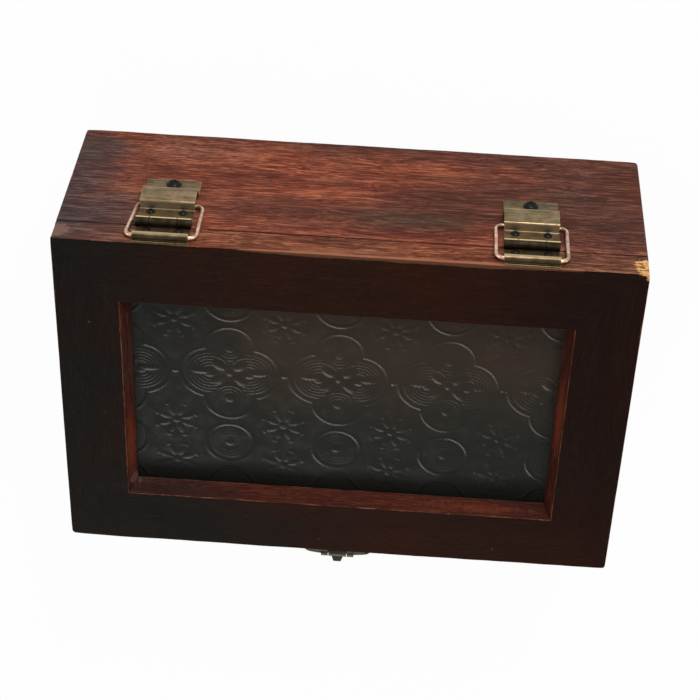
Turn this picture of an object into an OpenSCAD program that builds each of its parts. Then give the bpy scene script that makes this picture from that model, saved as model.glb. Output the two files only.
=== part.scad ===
// Glove box: a mitred wooden box with a framed, patterned glass lid,
// two stay hinges whose wire rings stop the lid upright, and a small hasp.
// The box stands on z = 0, centred on the base. The hinges are on the +Y side.

/* [Box] */
// Width of the box from end to end
box_w = 240; // [200:1:300]
// Depth of the box from front to back
box_d = 160; // [130:1:200]
// Height of the lower box up to the seam of the lid
body_h = 73.4; // [60:0.2:110]
// Thickness of the four walls
wall_t = 10; // [9:0.5:14]
// Wood of the long walls that covers the ends of the side walls
corner_lap = 5; // [3:0.5:6]
// Thickness of the base panel
base_t = 4; // [3:0.5:6]
// How far the base panel reaches under the walls
base_rebate = 5; // [4:0.5:6]
// Bevel that eases the outer edges of the wood
edge_ease = 0.6; // [0.2:0.1:1]

/* [Lid] */
// Thickness of the lid frame
lid_t = 13; // [12:0.5:18]
// Width of the front rail and of the stiles on top
rail_w = 26.6; // [20:0.2:36]
// Width of the back rail on top
back_rail_w = 29.4; // [20:0.2:36]
// Run of the splayed edge round the glass
splay_run = 3.4; // [1:0.2:6]
// Upright arris below the splay
splay_arris = 0.8; // [0.4:0.1:2]
// Width of the rebate that the glass lies in
glass_rebate = 6; // [4:0.5:9]
// Thickness of the glass
glass_t = 3; // [2:0.5:4]
// Gap between the edge of the glass and its rebate
glass_gap = 0.4; // [0.2:0.1:1]
// Thickness of the beads that hold the glass
bead_t = 2; // [1.6:0.2:3]

/* [Rolled pattern] */
// Distance between the columns of figures on the glass
pattern_pitch = 46.5; // [44.5:0.5:60]
// Distance between a row of quatrefoils and the next row of roundels
pattern_row = 38.2; // [36:0.2:50]
// Width of the quatrefoils
quatrefoil_w = 42.4; // [39:0.2:43]
// Length of the quatrefoils
quatrefoil_l = 48; // [45:0.2:50]
// Diameter of the roundels
roundel_d = 20.6; // [16:0.2:22]
// Diameter of the daisies
daisy_d = 19.2; // [14:0.2:20]
// Width of the raised lines
relief_line = 1; // [0.8:0.1:1.2]
// Height of the raised figures
relief_h = 0.35; // [0.2:0.05:0.5]

/* [Stay hinges] */
// Distance of the left hinge from the left end of the box
left_hinge_in = 44; // [30:1:70]
// Distance of the right hinge from the right end of the box
right_hinge_in = 47; // [30:1:70]
// Width of the hinge leaves
leaf_w = 22.6; // [20:0.2:26]
// Thickness of the sheet that the leaves are stamped from
leaf_t = 0.8; // [0.6:0.1:1]
// Outer diameter of the hinge knuckles
knuckle_d = 4; // [3.6:0.1:5]
// Length of the middle knuckle
mid_knuckle = 11; // [8:0.5:13]
// Diameter of the hinge pin
pin_d = 1.9; // [1.5:0.1:2.1]
// Diameter of the ring's wire
wire_d = 1.8; // [1.5:0.1:2]
// Length of the ring between the centres of its two cross wires
ring_l = 24.5; // [23.5:0.1:25.5]
// Free space between the edge of a leaf and the ring's side wire
ring_side_gap = 2.15; // [1.5:0.05:3]
// Radius of the ring's corners at the centre of the wire
ring_corner = 3; // [2.2:0.1:3]
// Height of the ring's barrel above the axis of the hinge
barrel_up = 10; // [9.6:0.1:10.2]
// How far the lid opens, in degrees
lid_open = 90; // [80:1:90]
// Room in the bridge above the ring's free wire when the lid is shut
bridge_lead = 1.2; // [0.6:0.1:1.4]
// Length of the slope at the lower end of the bridge
bridge_slope = 2.4; // [1.6:0.1:4]
// Length of the flat foot below the bridge
foot_l = 10.2; // [8:0.2:14]
// Distance of the foot's screw from the end of the leaf
foot_screw_in = 3.8; // [3.4:0.1:4.6]

/* [Hasp] */
// Width of the lid plate of the clasp
clasp_w = 31; // [28:0.5:36]
// Thickness of the clasp's plates
plate_t = 1.2; // [1:0.1:1.4]
// How much the lid plate is crowned at its middle
plate_crown = 1.6; // [0.6:0.1:2]
// Width of the hasp's tongue
hasp_w = 14; // [12.5:0.5:16]
// Thickness of the hasp's tongue
hasp_t = 1; // [0.8:0.1:1.2]
// Length of the hasp below the seam of the lid
hasp_reach = 14; // [12:0.5:18]
// Outer diameter of the hasp's knuckles
hasp_knuckle_d = 4.4; // [4:0.1:4.8]
// Width of the hasp's own knuckle
hasp_knuckle_w = 8; // [6:0.5:9]
// Diameter of the stud that the hasp's fork straddles
stud_d = 4.6; // [3.6:0.1:5]
// Width of the plate on the lower box
catch_w = 27; // [25:0.5:32]
// Height of the plate on the lower box
catch_h = 15; // [13:0.5:18]

/* [Screws] */
// Radius of the heads of the small screws
small_head_r = 1.8; // [1.5:0.1:1.9]
// Radius of the shanks of the small screws
small_shank_r = 0.9; // [0.7:0.05:1.1]
// Length of the small screws in the wood
small_screw_l = 7; // [5:0.5:8]
// Radius of the heads of the foot screws
foot_head_r = 3.1; // [2.6:0.1:3.3]
// Radius of the shanks of the foot screws
foot_shank_r = 1.4; // [1.2:0.1:1.6]

/* [Clearances] */
// Radial play of a pin or wire in its bore
run_play = 0.06; // [0.03:0.01:0.1]
// Gap between pieces that move past each other
move_gap = 0.3; // [0.25:0.05:0.4]
// Radial play of a screw or pin in its hole
hole_play = 0.05; // [0.03:0.01:0.1]
// Gap round the base panel in its rebate
panel_gap = 0.2; // [0.1:0.1:0.5]

/* [Hidden] */
$fn = 48;
eps = 0.01;
through = 1;

total_h = body_h + lid_t;
inner_w = box_w - 2 * wall_t;
inner_d = box_d - 2 * wall_t;

// Base panel and its brads
panel_w = box_w - 2 * (wall_t - base_rebate) - 2 * panel_gap;
panel_d = box_d - 2 * (wall_t - base_rebate) - 2 * panel_gap;
brad_r = 0.6;
brad_head_r = 1.3;
brad_head_h = 0.8;
brad_sink = 0.4;
brad_l = 14;
brad_inset = base_rebate / 2;
brad_x = panel_w / 2 - brad_inset;
brad_y = panel_d / 2 - brad_inset;
brad_places = concat(
    [for (x = [-0.8, 0, 0.8], s = [-1, 1]) [x * brad_x, s * brad_y]],
    [for (y = [-0.5, 0.5], s = [-1, 1]) [s * brad_x, y * brad_y]]);

// Lid frame: the back rail's section is the common one, widened
back_share = back_rail_w / rail_w;
sight_u = rail_w + splay_run;
rebate_u = sight_u - glass_rebate;
glass_top = total_h - (lid_t - glass_t - bead_t);
glass_z = glass_top - glass_t;
window = [2 * (box_w / 2 - sight_u), box_d - sight_u * (1 + back_share)];
window_y = sight_u * (1 - back_share) / 2;

// Rolled pattern: one quatrefoil lies near the middle of the glass, and the rest repeat from it
pattern_start = [-2.4, 11];
side_lobe_r = 12.9;
end_lobe_r = 10.7;
line_pitch = 3.8;
daisy_row = 27;
relief_inset = 0.6;
relief_root = 0.5;

bead_pin_r = 0.4;
bead_pin_head_r = 0.7;
bead_pin_head_h = 0.4;
bead_pin_l = 11;
bead_ease = bead_t / 4;
bead_pin_z = body_h + (bead_ease + bead_t) / 2;

// Stay hinge, seen along X: up is measured from the axis, out from the back of the box
knuckle_r = knuckle_d / 2;
wire_r = wire_d / 2;
axis_out = knuckle_r + move_gap;
barrel_r = wire_r + run_play + leaf_t;
barrel_out = barrel_r + move_gap / 6;
free_out = wire_r + move_gap;
ring_lean = asin((barrel_out - free_out) / ring_l);
// The ring turns at a steady share of the lid, so that its free wire ends at its first height
ring_share = (asin((axis_out + (barrel_out - axis_out) * cos(lid_open)
    + barrel_up * sin(lid_open) - free_out) / ring_l) - ring_lean) / lid_open;
function free_wire_out(a) = axis_out + (barrel_out - axis_out) * cos(a)
    + barrel_up * sin(a) - ring_l * sin(ring_lean + ring_share * a);
function free_wire_down(a) = (barrel_out - axis_out) * sin(a)
    - barrel_up * cos(a) + ring_l * cos(ring_lean + ring_share * a);
free_wire_rise = max([for (a = [0:2:lid_open]) free_wire_out(a)]);
bridge_out = free_wire_rise + wire_r + move_gap + leaf_t;
bridge_near = free_wire_down(0) - wire_r - bridge_lead - leaf_t;
bridge_far = free_wire_down(lid_open) + leaf_t;
foot_start = bridge_far + bridge_slope;
leaf_end = foot_start + foot_l;
bend_r = 0.5;
leaf_margin = 0.2;
ring_w = leaf_w + 2 * ring_side_gap + wire_d;
leaf_screw_x = 6.6;
head_margin = 0.4;
lid_screw_up = knuckle_r + head_margin + small_head_r;
body_screw_down = bridge_near - head_margin - small_head_r;
left_hinge_x = left_hinge_in - box_w / 2;
right_hinge_x = box_w / 2 - right_hinge_in;
leaf_hole_r = small_shank_r + hole_play;
foot_screw_l = 8;

// Clasp, seen along X: out is measured from the front of the box, down from the top of the lid
hasp_knuckle_r = hasp_knuckle_d / 2;
hasp_axis_out = hasp_knuckle_r + move_gap;
hasp_axis_down = hasp_knuckle_r + 0.4;
hasp_pin_r = 0.8;
tongue_out = plate_t + move_gap;
tongue_end = lid_t + hasp_reach;
tongue_shoulder = hasp_axis_down + hasp_knuckle_r + move_gap;
plate_top = 0.8;
plate_bottom = lid_t - 1.4;
side_knuckle_w = 3;
hasp_channel_w = hasp_w + 2 * move_gap;
fork_w = stud_d + 2 * move_gap;
stud_down = tongue_end - 4.5;
stud_out = tongue_out + hasp_t + 1;
stud_depth = 6;
screw_seat = plate_t + 0.1;
catch_top = lid_t + 3.5;
clasp_screw_x = (hasp_channel_w + clasp_w) / 4 + 0.2;
clasp_screw_down = (plate_top + plate_bottom) / 2;
catch_screw_x = catch_w / 2 - small_head_r - 1.4;
catch_screw_down = catch_top + catch_h / 2;

stain = [0.26, 0.10, 0.07];
dark_stain = [0.17, 0.07, 0.05];
raw_wood = [0.62, 0.44, 0.28];
bronze = [0.45, 0.38, 0.22];
blackened = [0.10, 0.09, 0.08];
steel = [0.6, 0.6, 0.6];

// ---- Helpers ----

function unit(v) = v / norm(v);

// Points of an arc of radius r that rounds the corner b between a and c
function round_corner(a, b, c, r, n = 4) =
    let (u = unit(a - b), v = unit(c - b), half = acos(u * v) / 2,
        o = b + unit(u + v) * r / sin(half),
        s = b + u * r / tan(half) - o, e = b + v * r / tan(half) - o,
        first = atan2(s.y, s.x), turn = (atan2(e.y, e.x) - first + 540) % 360 - 180)
    [for (i = [0:n]) o + r * [cos(first + turn * i / n), sin(first + turn * i / n)]];

// Closed outline with each corner rounded by its own radius, where 0 keeps it sharp
function rounded(pts, radii) = let (n = len(pts)) [for (i = [0:n - 1])
    each (radii[i] == 0 ? [pts[i]]
        : round_corner(pts[(i + n - 1) % n], pts[i], pts[(i + 1) % n], radii[i]))];

// Rectangle centred on the origin with its corners bevelled
function bevelled(w, d, b) = [[-w / 2 + b, -d / 2], [w / 2 - b, -d / 2], [w / 2, -d / 2 + b],
    [w / 2, d / 2 - b], [w / 2 - b, d / 2], [-w / 2 + b, d / 2],
    [-w / 2, d / 2 - b], [-w / 2, -d / 2 + b]];

// Extrudes an outline drawn in Y and Z along X, centred on x = 0
module along_x(length) {
    rotate([90, 0, 90]) translate([0, 0, -length / 2]) linear_extrude(length) children();
}

// Block between two heights, with its upright edges and its top or bottom edges eased
module eased_block(low, high, ease_top) {
    size = [box_w, box_d];
    h = high - low;
    flip = ease_top ? 0 : 1;
    intersection() {
        translate([0, 0, low]) linear_extrude(h) polygon(bevelled(size.x, size.y, edge_ease));
        intersection_for (i = [0, 1]) translate([0, 0, (low + high) / 2])
            rotate([flip * 180, 0, 90 * i]) along_x(2 * box_w) polygon([
                [-size[1 - i] / 2, -h / 2], [size[1 - i] / 2, -h / 2],
                [size[1 - i] / 2, h / 2 - edge_ease], [size[1 - i] / 2 - edge_ease, h / 2],
                [edge_ease - size[1 - i] / 2, h / 2], [-size[1 - i] / 2, h / 2 - edge_ease]]);
    }
}

// Frame of the hinge: on the back of the box, Z from the axis, Y outwards
module at_hinge(x) {
    translate([x, box_d / 2, body_h]) children();
}

// Frame of the clasp: on the front of the box, Z from the top of the lid, Y outwards
module at_clasp() {
    translate([0, -box_d / 2, total_h]) rotate([0, 0, 180]) children();
}

// Rod along Y, from out = from to out = to
module rod_y(r, from, to) {
    translate([0, from, 0]) rotate([-90, 0, 0]) cylinder(r = r, h = to - from);
}

// Rod along X, centred on x = 0
module rod_x(r, length) {
    rotate([0, 90, 0]) cylinder(r = r, h = length, center = true);
}

// Domed screw with a cross slot, its head resting on y = 0 and its shank towards -Y
module wood_screw(head_r, head_h, shank_r, length) {
    dome = (head_r * head_r + head_h * head_h) / (2 * head_h);
    tip = 2 * shank_r;
    slot = head_r / 4;
    difference() {
        union() {
            intersection() {
                rod_y(head_r, 0, head_h);
                translate([0, head_h - dome, 0]) sphere(r = dome, $fn = 64);
            }
            rod_y(shank_r, tip - length, eps);
            rotate([90, 0, 0]) translate([0, 0, length - tip - eps])
                cylinder(r1 = shank_r, r2 = 0.1, h = tip + eps);
        }
        for (a = [0, 90]) rotate([0, a, 0])
            translate([-slot / 2, head_h * 0.45, -head_r * 0.62])
                cube([slot, head_h, head_r * 1.24]);
    }
}

// ---- Lower box ----

// Hollow for the base panel, cut from every wall that it touches
module base_recess() {
    translate([-panel_w / 2 - panel_gap, -panel_d / 2 - panel_gap, -through])
        cube([panel_w + 2 * panel_gap, panel_d + 2 * panel_gap, base_t + through]);
}

module brad_holes(r, from, to) {
    for (p = brad_places) translate([p.x, p.y, from]) cylinder(r = r, h = to - from);
}

// Wall across the whole width, rebated at both ends for the side walls
module long_wall(side) {
    difference() {
        intersection() {
            eased_block(0, body_h, false);
            translate([-box_w / 2, side > 0 ? inner_d / 2 : -box_d / 2, 0])
                cube([box_w, wall_t, body_h]);
        }
        for (end = [-box_w / 2 - through, inner_w / 2])
            translate([end, side > 0 ? inner_d / 2 - through : corner_lap - box_d / 2, -through])
                cube([wall_t + through, wall_t - corner_lap + through, body_h + 2 * through]);
        base_recess();
        brad_holes(brad_r + hole_play, 0, brad_sink + brad_l + hole_play);
    }
}

// Side wall, its ends housed in the rebates of the long walls
module end_wall(side) {
    difference() {
        intersection() {
            eased_block(0, body_h, false);
            translate([side > 0 ? inner_w / 2 : -box_w / 2, corner_lap - box_d / 2, 0])
                cube([wall_t, box_d - 2 * corner_lap, body_h]);
        }
        base_recess();
        brad_holes(brad_r + hole_play, 0, brad_sink + brad_l + hole_play);
    }
}

module front_wall() {
    color(stain) difference() {
        long_wall(-1);
        at_clasp() {
            catch_screw_places() rod_y(leaf_hole_r, -small_screw_l - hole_play, through);
            translate([0, 0, -stud_down]) rod_y(stud_d / 4 + hole_play, -stud_depth, through);
        }
    }
}

module back_wall() {
    color(stain) difference() {
        long_wall(1);
        for (x = [left_hinge_x, right_hinge_x]) at_hinge(x) {
            body_screw_places() rod_y(leaf_hole_r, -small_screw_l - hole_play, through);
            foot_screw_place() rod_y(foot_shank_r + hole_play, -foot_screw_l - hole_play, through);
        }
    }
}

module left_wall() { color(stain) end_wall(-1); }

module right_wall() { color(stain) end_wall(1); }

module base_panel() {
    color(dark_stain) difference() {
        translate([-panel_w / 2, -panel_d / 2, 0]) cube([panel_w, panel_d, base_t]);
        brad_holes(brad_r + hole_play, -through, base_t + through);
        brad_holes(brad_head_r + hole_play, -through, brad_sink + brad_head_h);
    }
}

module base_brads() {
    color(steel) {
        brad_holes(brad_head_r, brad_sink, brad_sink + brad_head_h);
        brad_holes(brad_r, brad_sink, brad_sink + brad_l);
    }
}

// ---- Lid ----

// Section of a rail: u runs inwards from its outer face and grows with the rail's share
function rail_section(share) = [[0, body_h], [rebate_u * share, body_h],
    [rebate_u * share, glass_top], [sight_u * share, glass_top],
    [sight_u * share, glass_top + splay_arris], [rail_w * share, total_h], [0, total_h]];

// Section of a bead, which fills the rebate below the glass
function bead_section(share) = [[rebate_u * share, body_h],
    [sight_u * share - bead_ease, body_h], [sight_u * share, body_h + bead_ease],
    [sight_u * share, glass_z], [rebate_u * share, glass_z]];

// Plan of one side of the frame, mitred on the lines that join the outer and inner corners
function mitre_plan(length, share, left, right) =
    [[-length / 2, 0], [length / 2, 0], [length / 2 - sight_u * right, sight_u * share],
        [sight_u * left - length / 2, sight_u * share]];

// One mitred member: a section drawn in u and z, run along the side at distance reach
module frame_member(angle, length, reach, share, left, right) {
    rotate([0, 0, angle]) translate([0, -reach, 0]) intersection() {
        along_x(length) children();
        translate([0, 0, body_h - through]) linear_extrude(lid_t + 2 * through)
            polygon(mitre_plan(length, share, left, right));
    }
}

// Side 0 is the front, 1 the right, 2 the back and 3 the left side
module lid_member(side) {
    front_back = side % 2 == 0;
    frame_member(90 * side, front_back ? box_w : box_d, (front_back ? box_d : box_w) / 2,
        side == 2 ? back_share : 1, side == 3 ? back_share : 1, side == 1 ? back_share : 1)
        children();
}

module lid_rail(side) {
    difference() {
        intersection() {
            lid_member(side) polygon(rail_section(side == 2 ? back_share : 1));
            eased_block(body_h, total_h, true);
        }
        bead_pin_places() rod_y(bead_pin_r + hole_play, -bead_pin_l - hole_play, 0);
    }
}

module bead(side) {
    difference() {
        lid_member(side) polygon(bead_section(side == 2 ? back_share : 1));
        bead_pin_places() rod_y(bead_pin_r + hole_play, -bead_pin_l, through);
    }
}

// Places of the bead pins, with Y pointing from the bead into the window
module bead_pin_places() {
    for (side = [0:3]) {
        front_back = side % 2 == 0;
        sight = sight_u * (side == 2 ? back_share : 1);
        span = front_back ? box_w : box_d;
        count = front_back ? 3 : 2;
        reach = (front_back ? box_d : box_w) / 2;
        rotate([0, 0, 90 * side]) translate([0, sight - reach, bead_pin_z])
            for (i = [0:count - 1])
                translate([(i - (count - 1) / 2) * (span - 2 * sight_u) / count, 0, 0])
                    children();
    }
}

module lid_front_rail() {
    color(dark_stain) difference() {
        lid_rail(0);
        at_clasp() clasp_lid_screw_places()
            rod_y(leaf_hole_r, -small_screw_l - hole_play, through);
    }
}

module lid_back_rail() {
    color(dark_stain) difference() {
        lid_rail(2);
        for (x = [left_hinge_x, right_hinge_x]) at_hinge(x) lid_screw_places()
            rod_y(leaf_hole_r, -small_screw_l - hole_play, through);
    }
}

module lid_left_stile() { color(dark_stain) lid_rail(3); }

module lid_right_stile() { color(dark_stain) lid_rail(1); }

// Pointed leaf, the overlap of two discs, along X
module leaf_2d(length, width) {
    r = (length * length + width * width) / (4 * width);
    intersection_for (s = [-1, 1]) translate([0, s * (r - width / 2)]) circle(r = r);
}

// Four lobes, drawn in by inset
module quatrefoil_2d(inset) {
    for (s = [-1, 1]) {
        translate([s * (quatrefoil_w / 2 - side_lobe_r), 0]) circle(r = side_lobe_r - inset);
        translate([0, s * (quatrefoil_l / 2 - end_lobe_r)]) circle(r = end_lobe_r - inset);
    }
}

// Raised line of a disc's rim
module rim_2d(r) {
    difference() {
        circle(r = r);
        circle(r = r - relief_line);
    }
}

// Quatrefoil with an inner line, and leaves round its middle
module quatrefoil_figure() {
    for (inset = [0, line_pitch]) difference() {
        quatrefoil_2d(inset);
        quatrefoil_2d(inset + relief_line);
    }
    circle(r = 1.6);
    for (s = [-1, 1]) {
        translate([s * 10.6, 0]) leaf_2d(6, 2.8);
        translate([0, s * 12.4]) rim_2d(2.4);
        for (t = [-1, 1]) translate([s * 4.9, t * 4.2]) rotate(s * t * 32) leaf_2d(6.8, 4);
    }
}

// Roundel with an inner line and a button in the middle
module roundel_figure() {
    for (r = [roundel_d / 2, roundel_d / 2 - line_pitch]) rim_2d(r);
    circle(r = 2);
}

// Daisy with eight petals
module daisy_figure() {
    petal_l = daisy_d / 2 - 4.2;
    circle(r = 1.6);
    for (k = [0:7]) rotate(22.5 + 45 * k) translate([2.6 + petal_l / 2, 0]) leaf_2d(petal_l, 2.4);
}

// Figures that repeat across the glass
module rolled_pattern() {
    columns = ceil(window.x / 2 / pattern_pitch);
    rows = ceil(window.y / 2 / pattern_row) - 1;
    for (i = [-columns:columns], j = [-rows:0])
        translate(pattern_start + [i * pattern_pitch, 2 * j * pattern_row]) {
            quatrefoil_figure();
            translate([0, pattern_row]) roundel_figure();
            translate([pattern_pitch / 2, 0]) circle(r = 1.4);
            for (s = [-1, 1]) translate([pattern_pitch / 2, s * daisy_row]) daisy_figure();
        }
}

module glass_pane() {
    low = -box_d / 2 + rebate_u + glass_gap;
    high = box_d / 2 - rebate_u * back_share - glass_gap;
    half = box_w / 2 - rebate_u - glass_gap;
    color([0.25, 0.28, 0.26, 0.6]) {
        translate([-half, low, glass_z]) cube([2 * half, high - low, glass_t]);
        translate([0, 0, glass_top - relief_root]) linear_extrude(relief_root + relief_h) intersection() {
            rolled_pattern();
            translate([0, window_y]) square(window - [1, 1] * 2 * relief_inset, center = true);
        }
    }
}

module front_bead() { color(dark_stain) bead(0); }

module right_bead() { color(dark_stain) bead(1); }

module back_bead() { color(dark_stain) bead(2); }

module left_bead() { color(dark_stain) bead(3); }

module bead_pins() {
    color(steel) bead_pin_places() {
        rod_y(bead_pin_r, -bead_pin_l, 0);
        rod_y(bead_pin_head_r, 0, bead_pin_head_h);
    }
}

// ---- Stay hinge ----

// Bent section of the body leaf, drawn as [down from the axis, out from the wood]
function body_leaf_section() =
    let (rise = bridge_out - leaf_t, run = bridge_slope,
        shift = leaf_t * norm([rise, run]) / rise)
    rounded([[0, leaf_t], [bridge_near, leaf_t], [bridge_near, bridge_out],
        [bridge_far, bridge_out], [foot_start, leaf_t], [leaf_end, leaf_t], [leaf_end, 0],
        [bridge_far + run * bridge_out / rise - shift, 0],
        [bridge_far + run * leaf_t / rise - shift, rise],
        [bridge_near + leaf_t, rise], [bridge_near + leaf_t, 0], [0, 0]],
        [0, bend_r, bend_r + leaf_t / 2, bend_r + leaf_t / 2, bend_r, 0, 0,
            bend_r, bend_r / 2, bend_r / 2, bend_r, 0]);

module body_screw_places() {
    for (s = [-1, 1]) translate([s * leaf_screw_x, 0, -body_screw_down]) children();
}

module lid_screw_places() {
    for (s = [-1, 1]) translate([s * leaf_screw_x, 0, lid_screw_up]) children();
}

module foot_screw_place() {
    translate([0, 0, foot_screw_in - leaf_end]) children();
}

// Room that a leaf leaves round the knuckles of the other leaf
module knuckle_room(from, to) {
    for (s = [-1, 1]) translate([s > 0 ? from : -to, -through, -axis_out])
        cube([to - from, axis_out + knuckle_r + 2 * through, 2 * axis_out]);
}

module body_leaf() {
    half = leaf_w / 2;
    inner = mid_knuckle / 2 + move_gap;
    difference() {
        union() {
            difference() {
                translate([-half, 0, 0]) rotate([0, 90, 0]) linear_extrude(leaf_w)
                    polygon(body_leaf_section());
                knuckle_room(-eps, inner);
            }
            for (s = [-1, 1]) translate([s * (half + inner) / 2, axis_out, 0])
                rod_x(knuckle_r, half - inner);
        }
        translate([0, axis_out, 0]) rod_x(pin_d / 2 + run_play, leaf_w + through);
        body_screw_places() rod_y(leaf_hole_r, -through, leaf_t + through);
        foot_screw_place() rod_y(foot_shank_r + hole_play, -through, leaf_t + through);
    }
}

module lid_leaf() {
    half = leaf_w / 2;
    inner = mid_knuckle / 2 + move_gap;
    difference() {
        union() {
            difference() {
                translate([-half, 0, 0]) cube([leaf_w, leaf_t, lid_t - leaf_margin]);
                knuckle_room(mid_knuckle / 2, half + through);
            }
            translate([0, axis_out, 0]) rod_x(knuckle_r, mid_knuckle);
            translate([0, barrel_out, barrel_up]) rod_x(barrel_r, leaf_w);
        }
        translate([0, axis_out, 0]) rod_x(pin_d / 2 + run_play, leaf_w + through);
        translate([0, barrel_out, barrel_up]) rod_x(wire_r + run_play, leaf_w + through);
        lid_screw_places() rod_y(leaf_hole_r, -through, leaf_t + through);
    }
}

module hinge_pin() {
    translate([0, axis_out, 0]) rod_x(pin_d / 2, leaf_w);
}

// One corner of the ring, a quarter turn of wire round the origin
module ring_bend() {
    rotate_extrude(angle = 90) translate([ring_corner, 0]) circle(r = wire_r, $fn = 24);
}

// Closed wire ring, flat in X and Z, hanging from the barrel
module ring() {
    half_w = ring_w / 2;
    straight_w = ring_w - 2 * ring_corner;
    straight_l = ring_l - 2 * ring_corner;
    translate([0, barrel_out, barrel_up]) rotate([-ring_lean, 0, 0])
        translate([0, 0, -ring_l / 2]) {
            for (s = [-1, 1]) {
                translate([0, 0, s * ring_l / 2]) rod_x(wire_r, straight_w);
                translate([s * half_w, 0, 0])
                    cylinder(r = wire_r, h = straight_l, center = true);
            }
            for (sx = [0, 1], sz = [0, 1]) mirror([sx, 0, 0]) mirror([0, 0, sz])
                translate([straight_w / 2, 0, straight_l / 2]) rotate([90, 0, 0]) ring_bend();
        }
}

module left_body_leaf() { color(bronze) at_hinge(left_hinge_x) body_leaf(); }

module right_body_leaf() { color(bronze) at_hinge(right_hinge_x) body_leaf(); }

module left_lid_leaf() { color(bronze) at_hinge(left_hinge_x) lid_leaf(); }

module right_lid_leaf() { color(bronze) at_hinge(right_hinge_x) lid_leaf(); }

module left_hinge_pin() { color(steel) at_hinge(left_hinge_x) hinge_pin(); }

module right_hinge_pin() { color(steel) at_hinge(right_hinge_x) hinge_pin(); }

module left_ring() { color(bronze) at_hinge(left_hinge_x) ring(); }

module right_ring() { color(bronze) at_hinge(right_hinge_x) ring(); }

module small_screw(seat) {
    translate([0, seat, 0])
        wood_screw(small_head_r, small_head_r * 0.6, small_shank_r, small_screw_l + seat);
}

module foot_screw() {
    translate([0, leaf_t, 0])
        wood_screw(foot_head_r, foot_head_r * 0.62, foot_shank_r, foot_screw_l + leaf_t);
}

module left_foot_screw() {
    color(blackened) at_hinge(left_hinge_x) foot_screw_place() foot_screw();
}

module right_foot_screw() {
    color(blackened) at_hinge(right_hinge_x) foot_screw_place() foot_screw();
}

module left_body_leaf_screws() {
    color(blackened) at_hinge(left_hinge_x) body_screw_places() small_screw(leaf_t);
}

module right_body_leaf_screws() {
    color(blackened) at_hinge(right_hinge_x) body_screw_places() small_screw(leaf_t);
}

module left_lid_leaf_screws() {
    color(blackened) at_hinge(left_hinge_x) lid_screw_places() small_screw(leaf_t);
}

module right_lid_leaf_screws() {
    color(blackened) at_hinge(right_hinge_x) lid_screw_places() small_screw(leaf_t);
}

// ---- Clasp ----

module clasp_lid_screw_places() {
    for (s = [-1, 1]) translate([s * clasp_screw_x, 0, -clasp_screw_down]) children();
}

module catch_screw_places() {
    for (s = [-1, 1]) translate([s * catch_screw_x, 0, -catch_screw_down]) children();
}

// Flat outline with round ends, drawn in X and Z and extruded outwards from y = 0
module rounded_plate(w, top, bottom, corner_r, thick) {
    rotate([90, 0, 0]) translate([0, 0, -thick]) linear_extrude(thick)
        polygon(rounded([[-w / 2, -bottom], [w / 2, -bottom], [w / 2, -top], [-w / 2, -top]],
            [corner_r, corner_r, corner_r, corner_r]));
}

// Plate on the lid: crowned wings, a flat channel for the hasp and two knuckles
module clasp_lid_plate() {
    half = clasp_w / 2;
    dome = (half * half + plate_crown * plate_crown) / (2 * plate_crown);
    thick = plate_t + plate_crown;
    color(bronze) at_clasp() difference() {
        union() {
            difference() {
                intersection() {
                    rounded_plate(clasp_w, plate_top, plate_bottom, 3.2, thick);
                    translate([0, thick - dome, -lid_t]) cylinder(r = dome, h = lid_t, $fn = 180);
                }
                translate([-hasp_channel_w / 2, plate_t, -lid_t])
                    cube([hasp_channel_w, thick, lid_t]);
                translate([-hasp_knuckle_w / 2 - move_gap, -through, -tongue_shoulder])
                    cube([hasp_knuckle_w + 2 * move_gap, thick + 2 * through, lid_t]);
            }
            for (s = [-1, 1]) translate([s * ((hasp_knuckle_w + side_knuckle_w) / 2 + move_gap),
                    hasp_axis_out, -hasp_axis_down])
                rod_x(hasp_knuckle_r, side_knuckle_w);
        }
        translate([0, hasp_axis_out, -hasp_axis_down])
            rod_x(hasp_pin_r + run_play, clasp_w);
        clasp_lid_screw_places() {
            rod_y(leaf_hole_r, -through, thick + through);
            rod_y(small_head_r + hole_play, screw_seat, thick + through);
        }
    }
}

// Outline of the tongue, drawn in X and down, with the fork open at the bottom
function tongue_outline() =
    let (neck = hasp_knuckle_w / 2, w = hasp_w / 2, f = fork_w / 2,
        fork_top = stud_down - stud_d / 2 - move_gap)
    rounded([[-neck, -hasp_axis_down], [neck, -hasp_axis_down], [neck, -tongue_shoulder],
        [w, -tongue_shoulder], [w, -stud_down], [f + 1.2, -tongue_end], [f, -tongue_end],
        [f, -fork_top], [-f, -fork_top], [-f, -tongue_end], [-f - 1.2, -tongue_end],
        [-w, -stud_down], [-w, -tongue_shoulder], [-neck, -tongue_shoulder]],
        [0, 0, 0.6, 2, 3, 0.5, 0.5, f * 0.9, f * 0.9, 0.5, 0.5, 3, 2, 0.6]);

// Thumb lift, a lip that runs outwards and up from the hasp's knuckle
module thumb_lift() {
    lift_w = 5;
    tip = 5.1;
    intersection() {
        along_x(lift_w) polygon(rounded(
            [[0, -1.1], [2.6, -0.9], [tip, 0.5], [tip - 0.5, 1.8], [2.6, 0.7], [0, 1.1]],
            [0, 1.2, 0.5, 0.5, 1.2, 0]));
        translate([0, 0, -hasp_knuckle_r]) linear_extrude(hasp_knuckle_d) polygon(rounded(
            [[-lift_w / 2, -eps], [lift_w / 2, -eps], [lift_w / 2, 2.6], [1.3, tip + eps],
                [-1.3, tip + eps], [-lift_w / 2, 2.6]], [0, 0, 1.5, 1, 1, 1.5]));
    }
}

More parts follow.
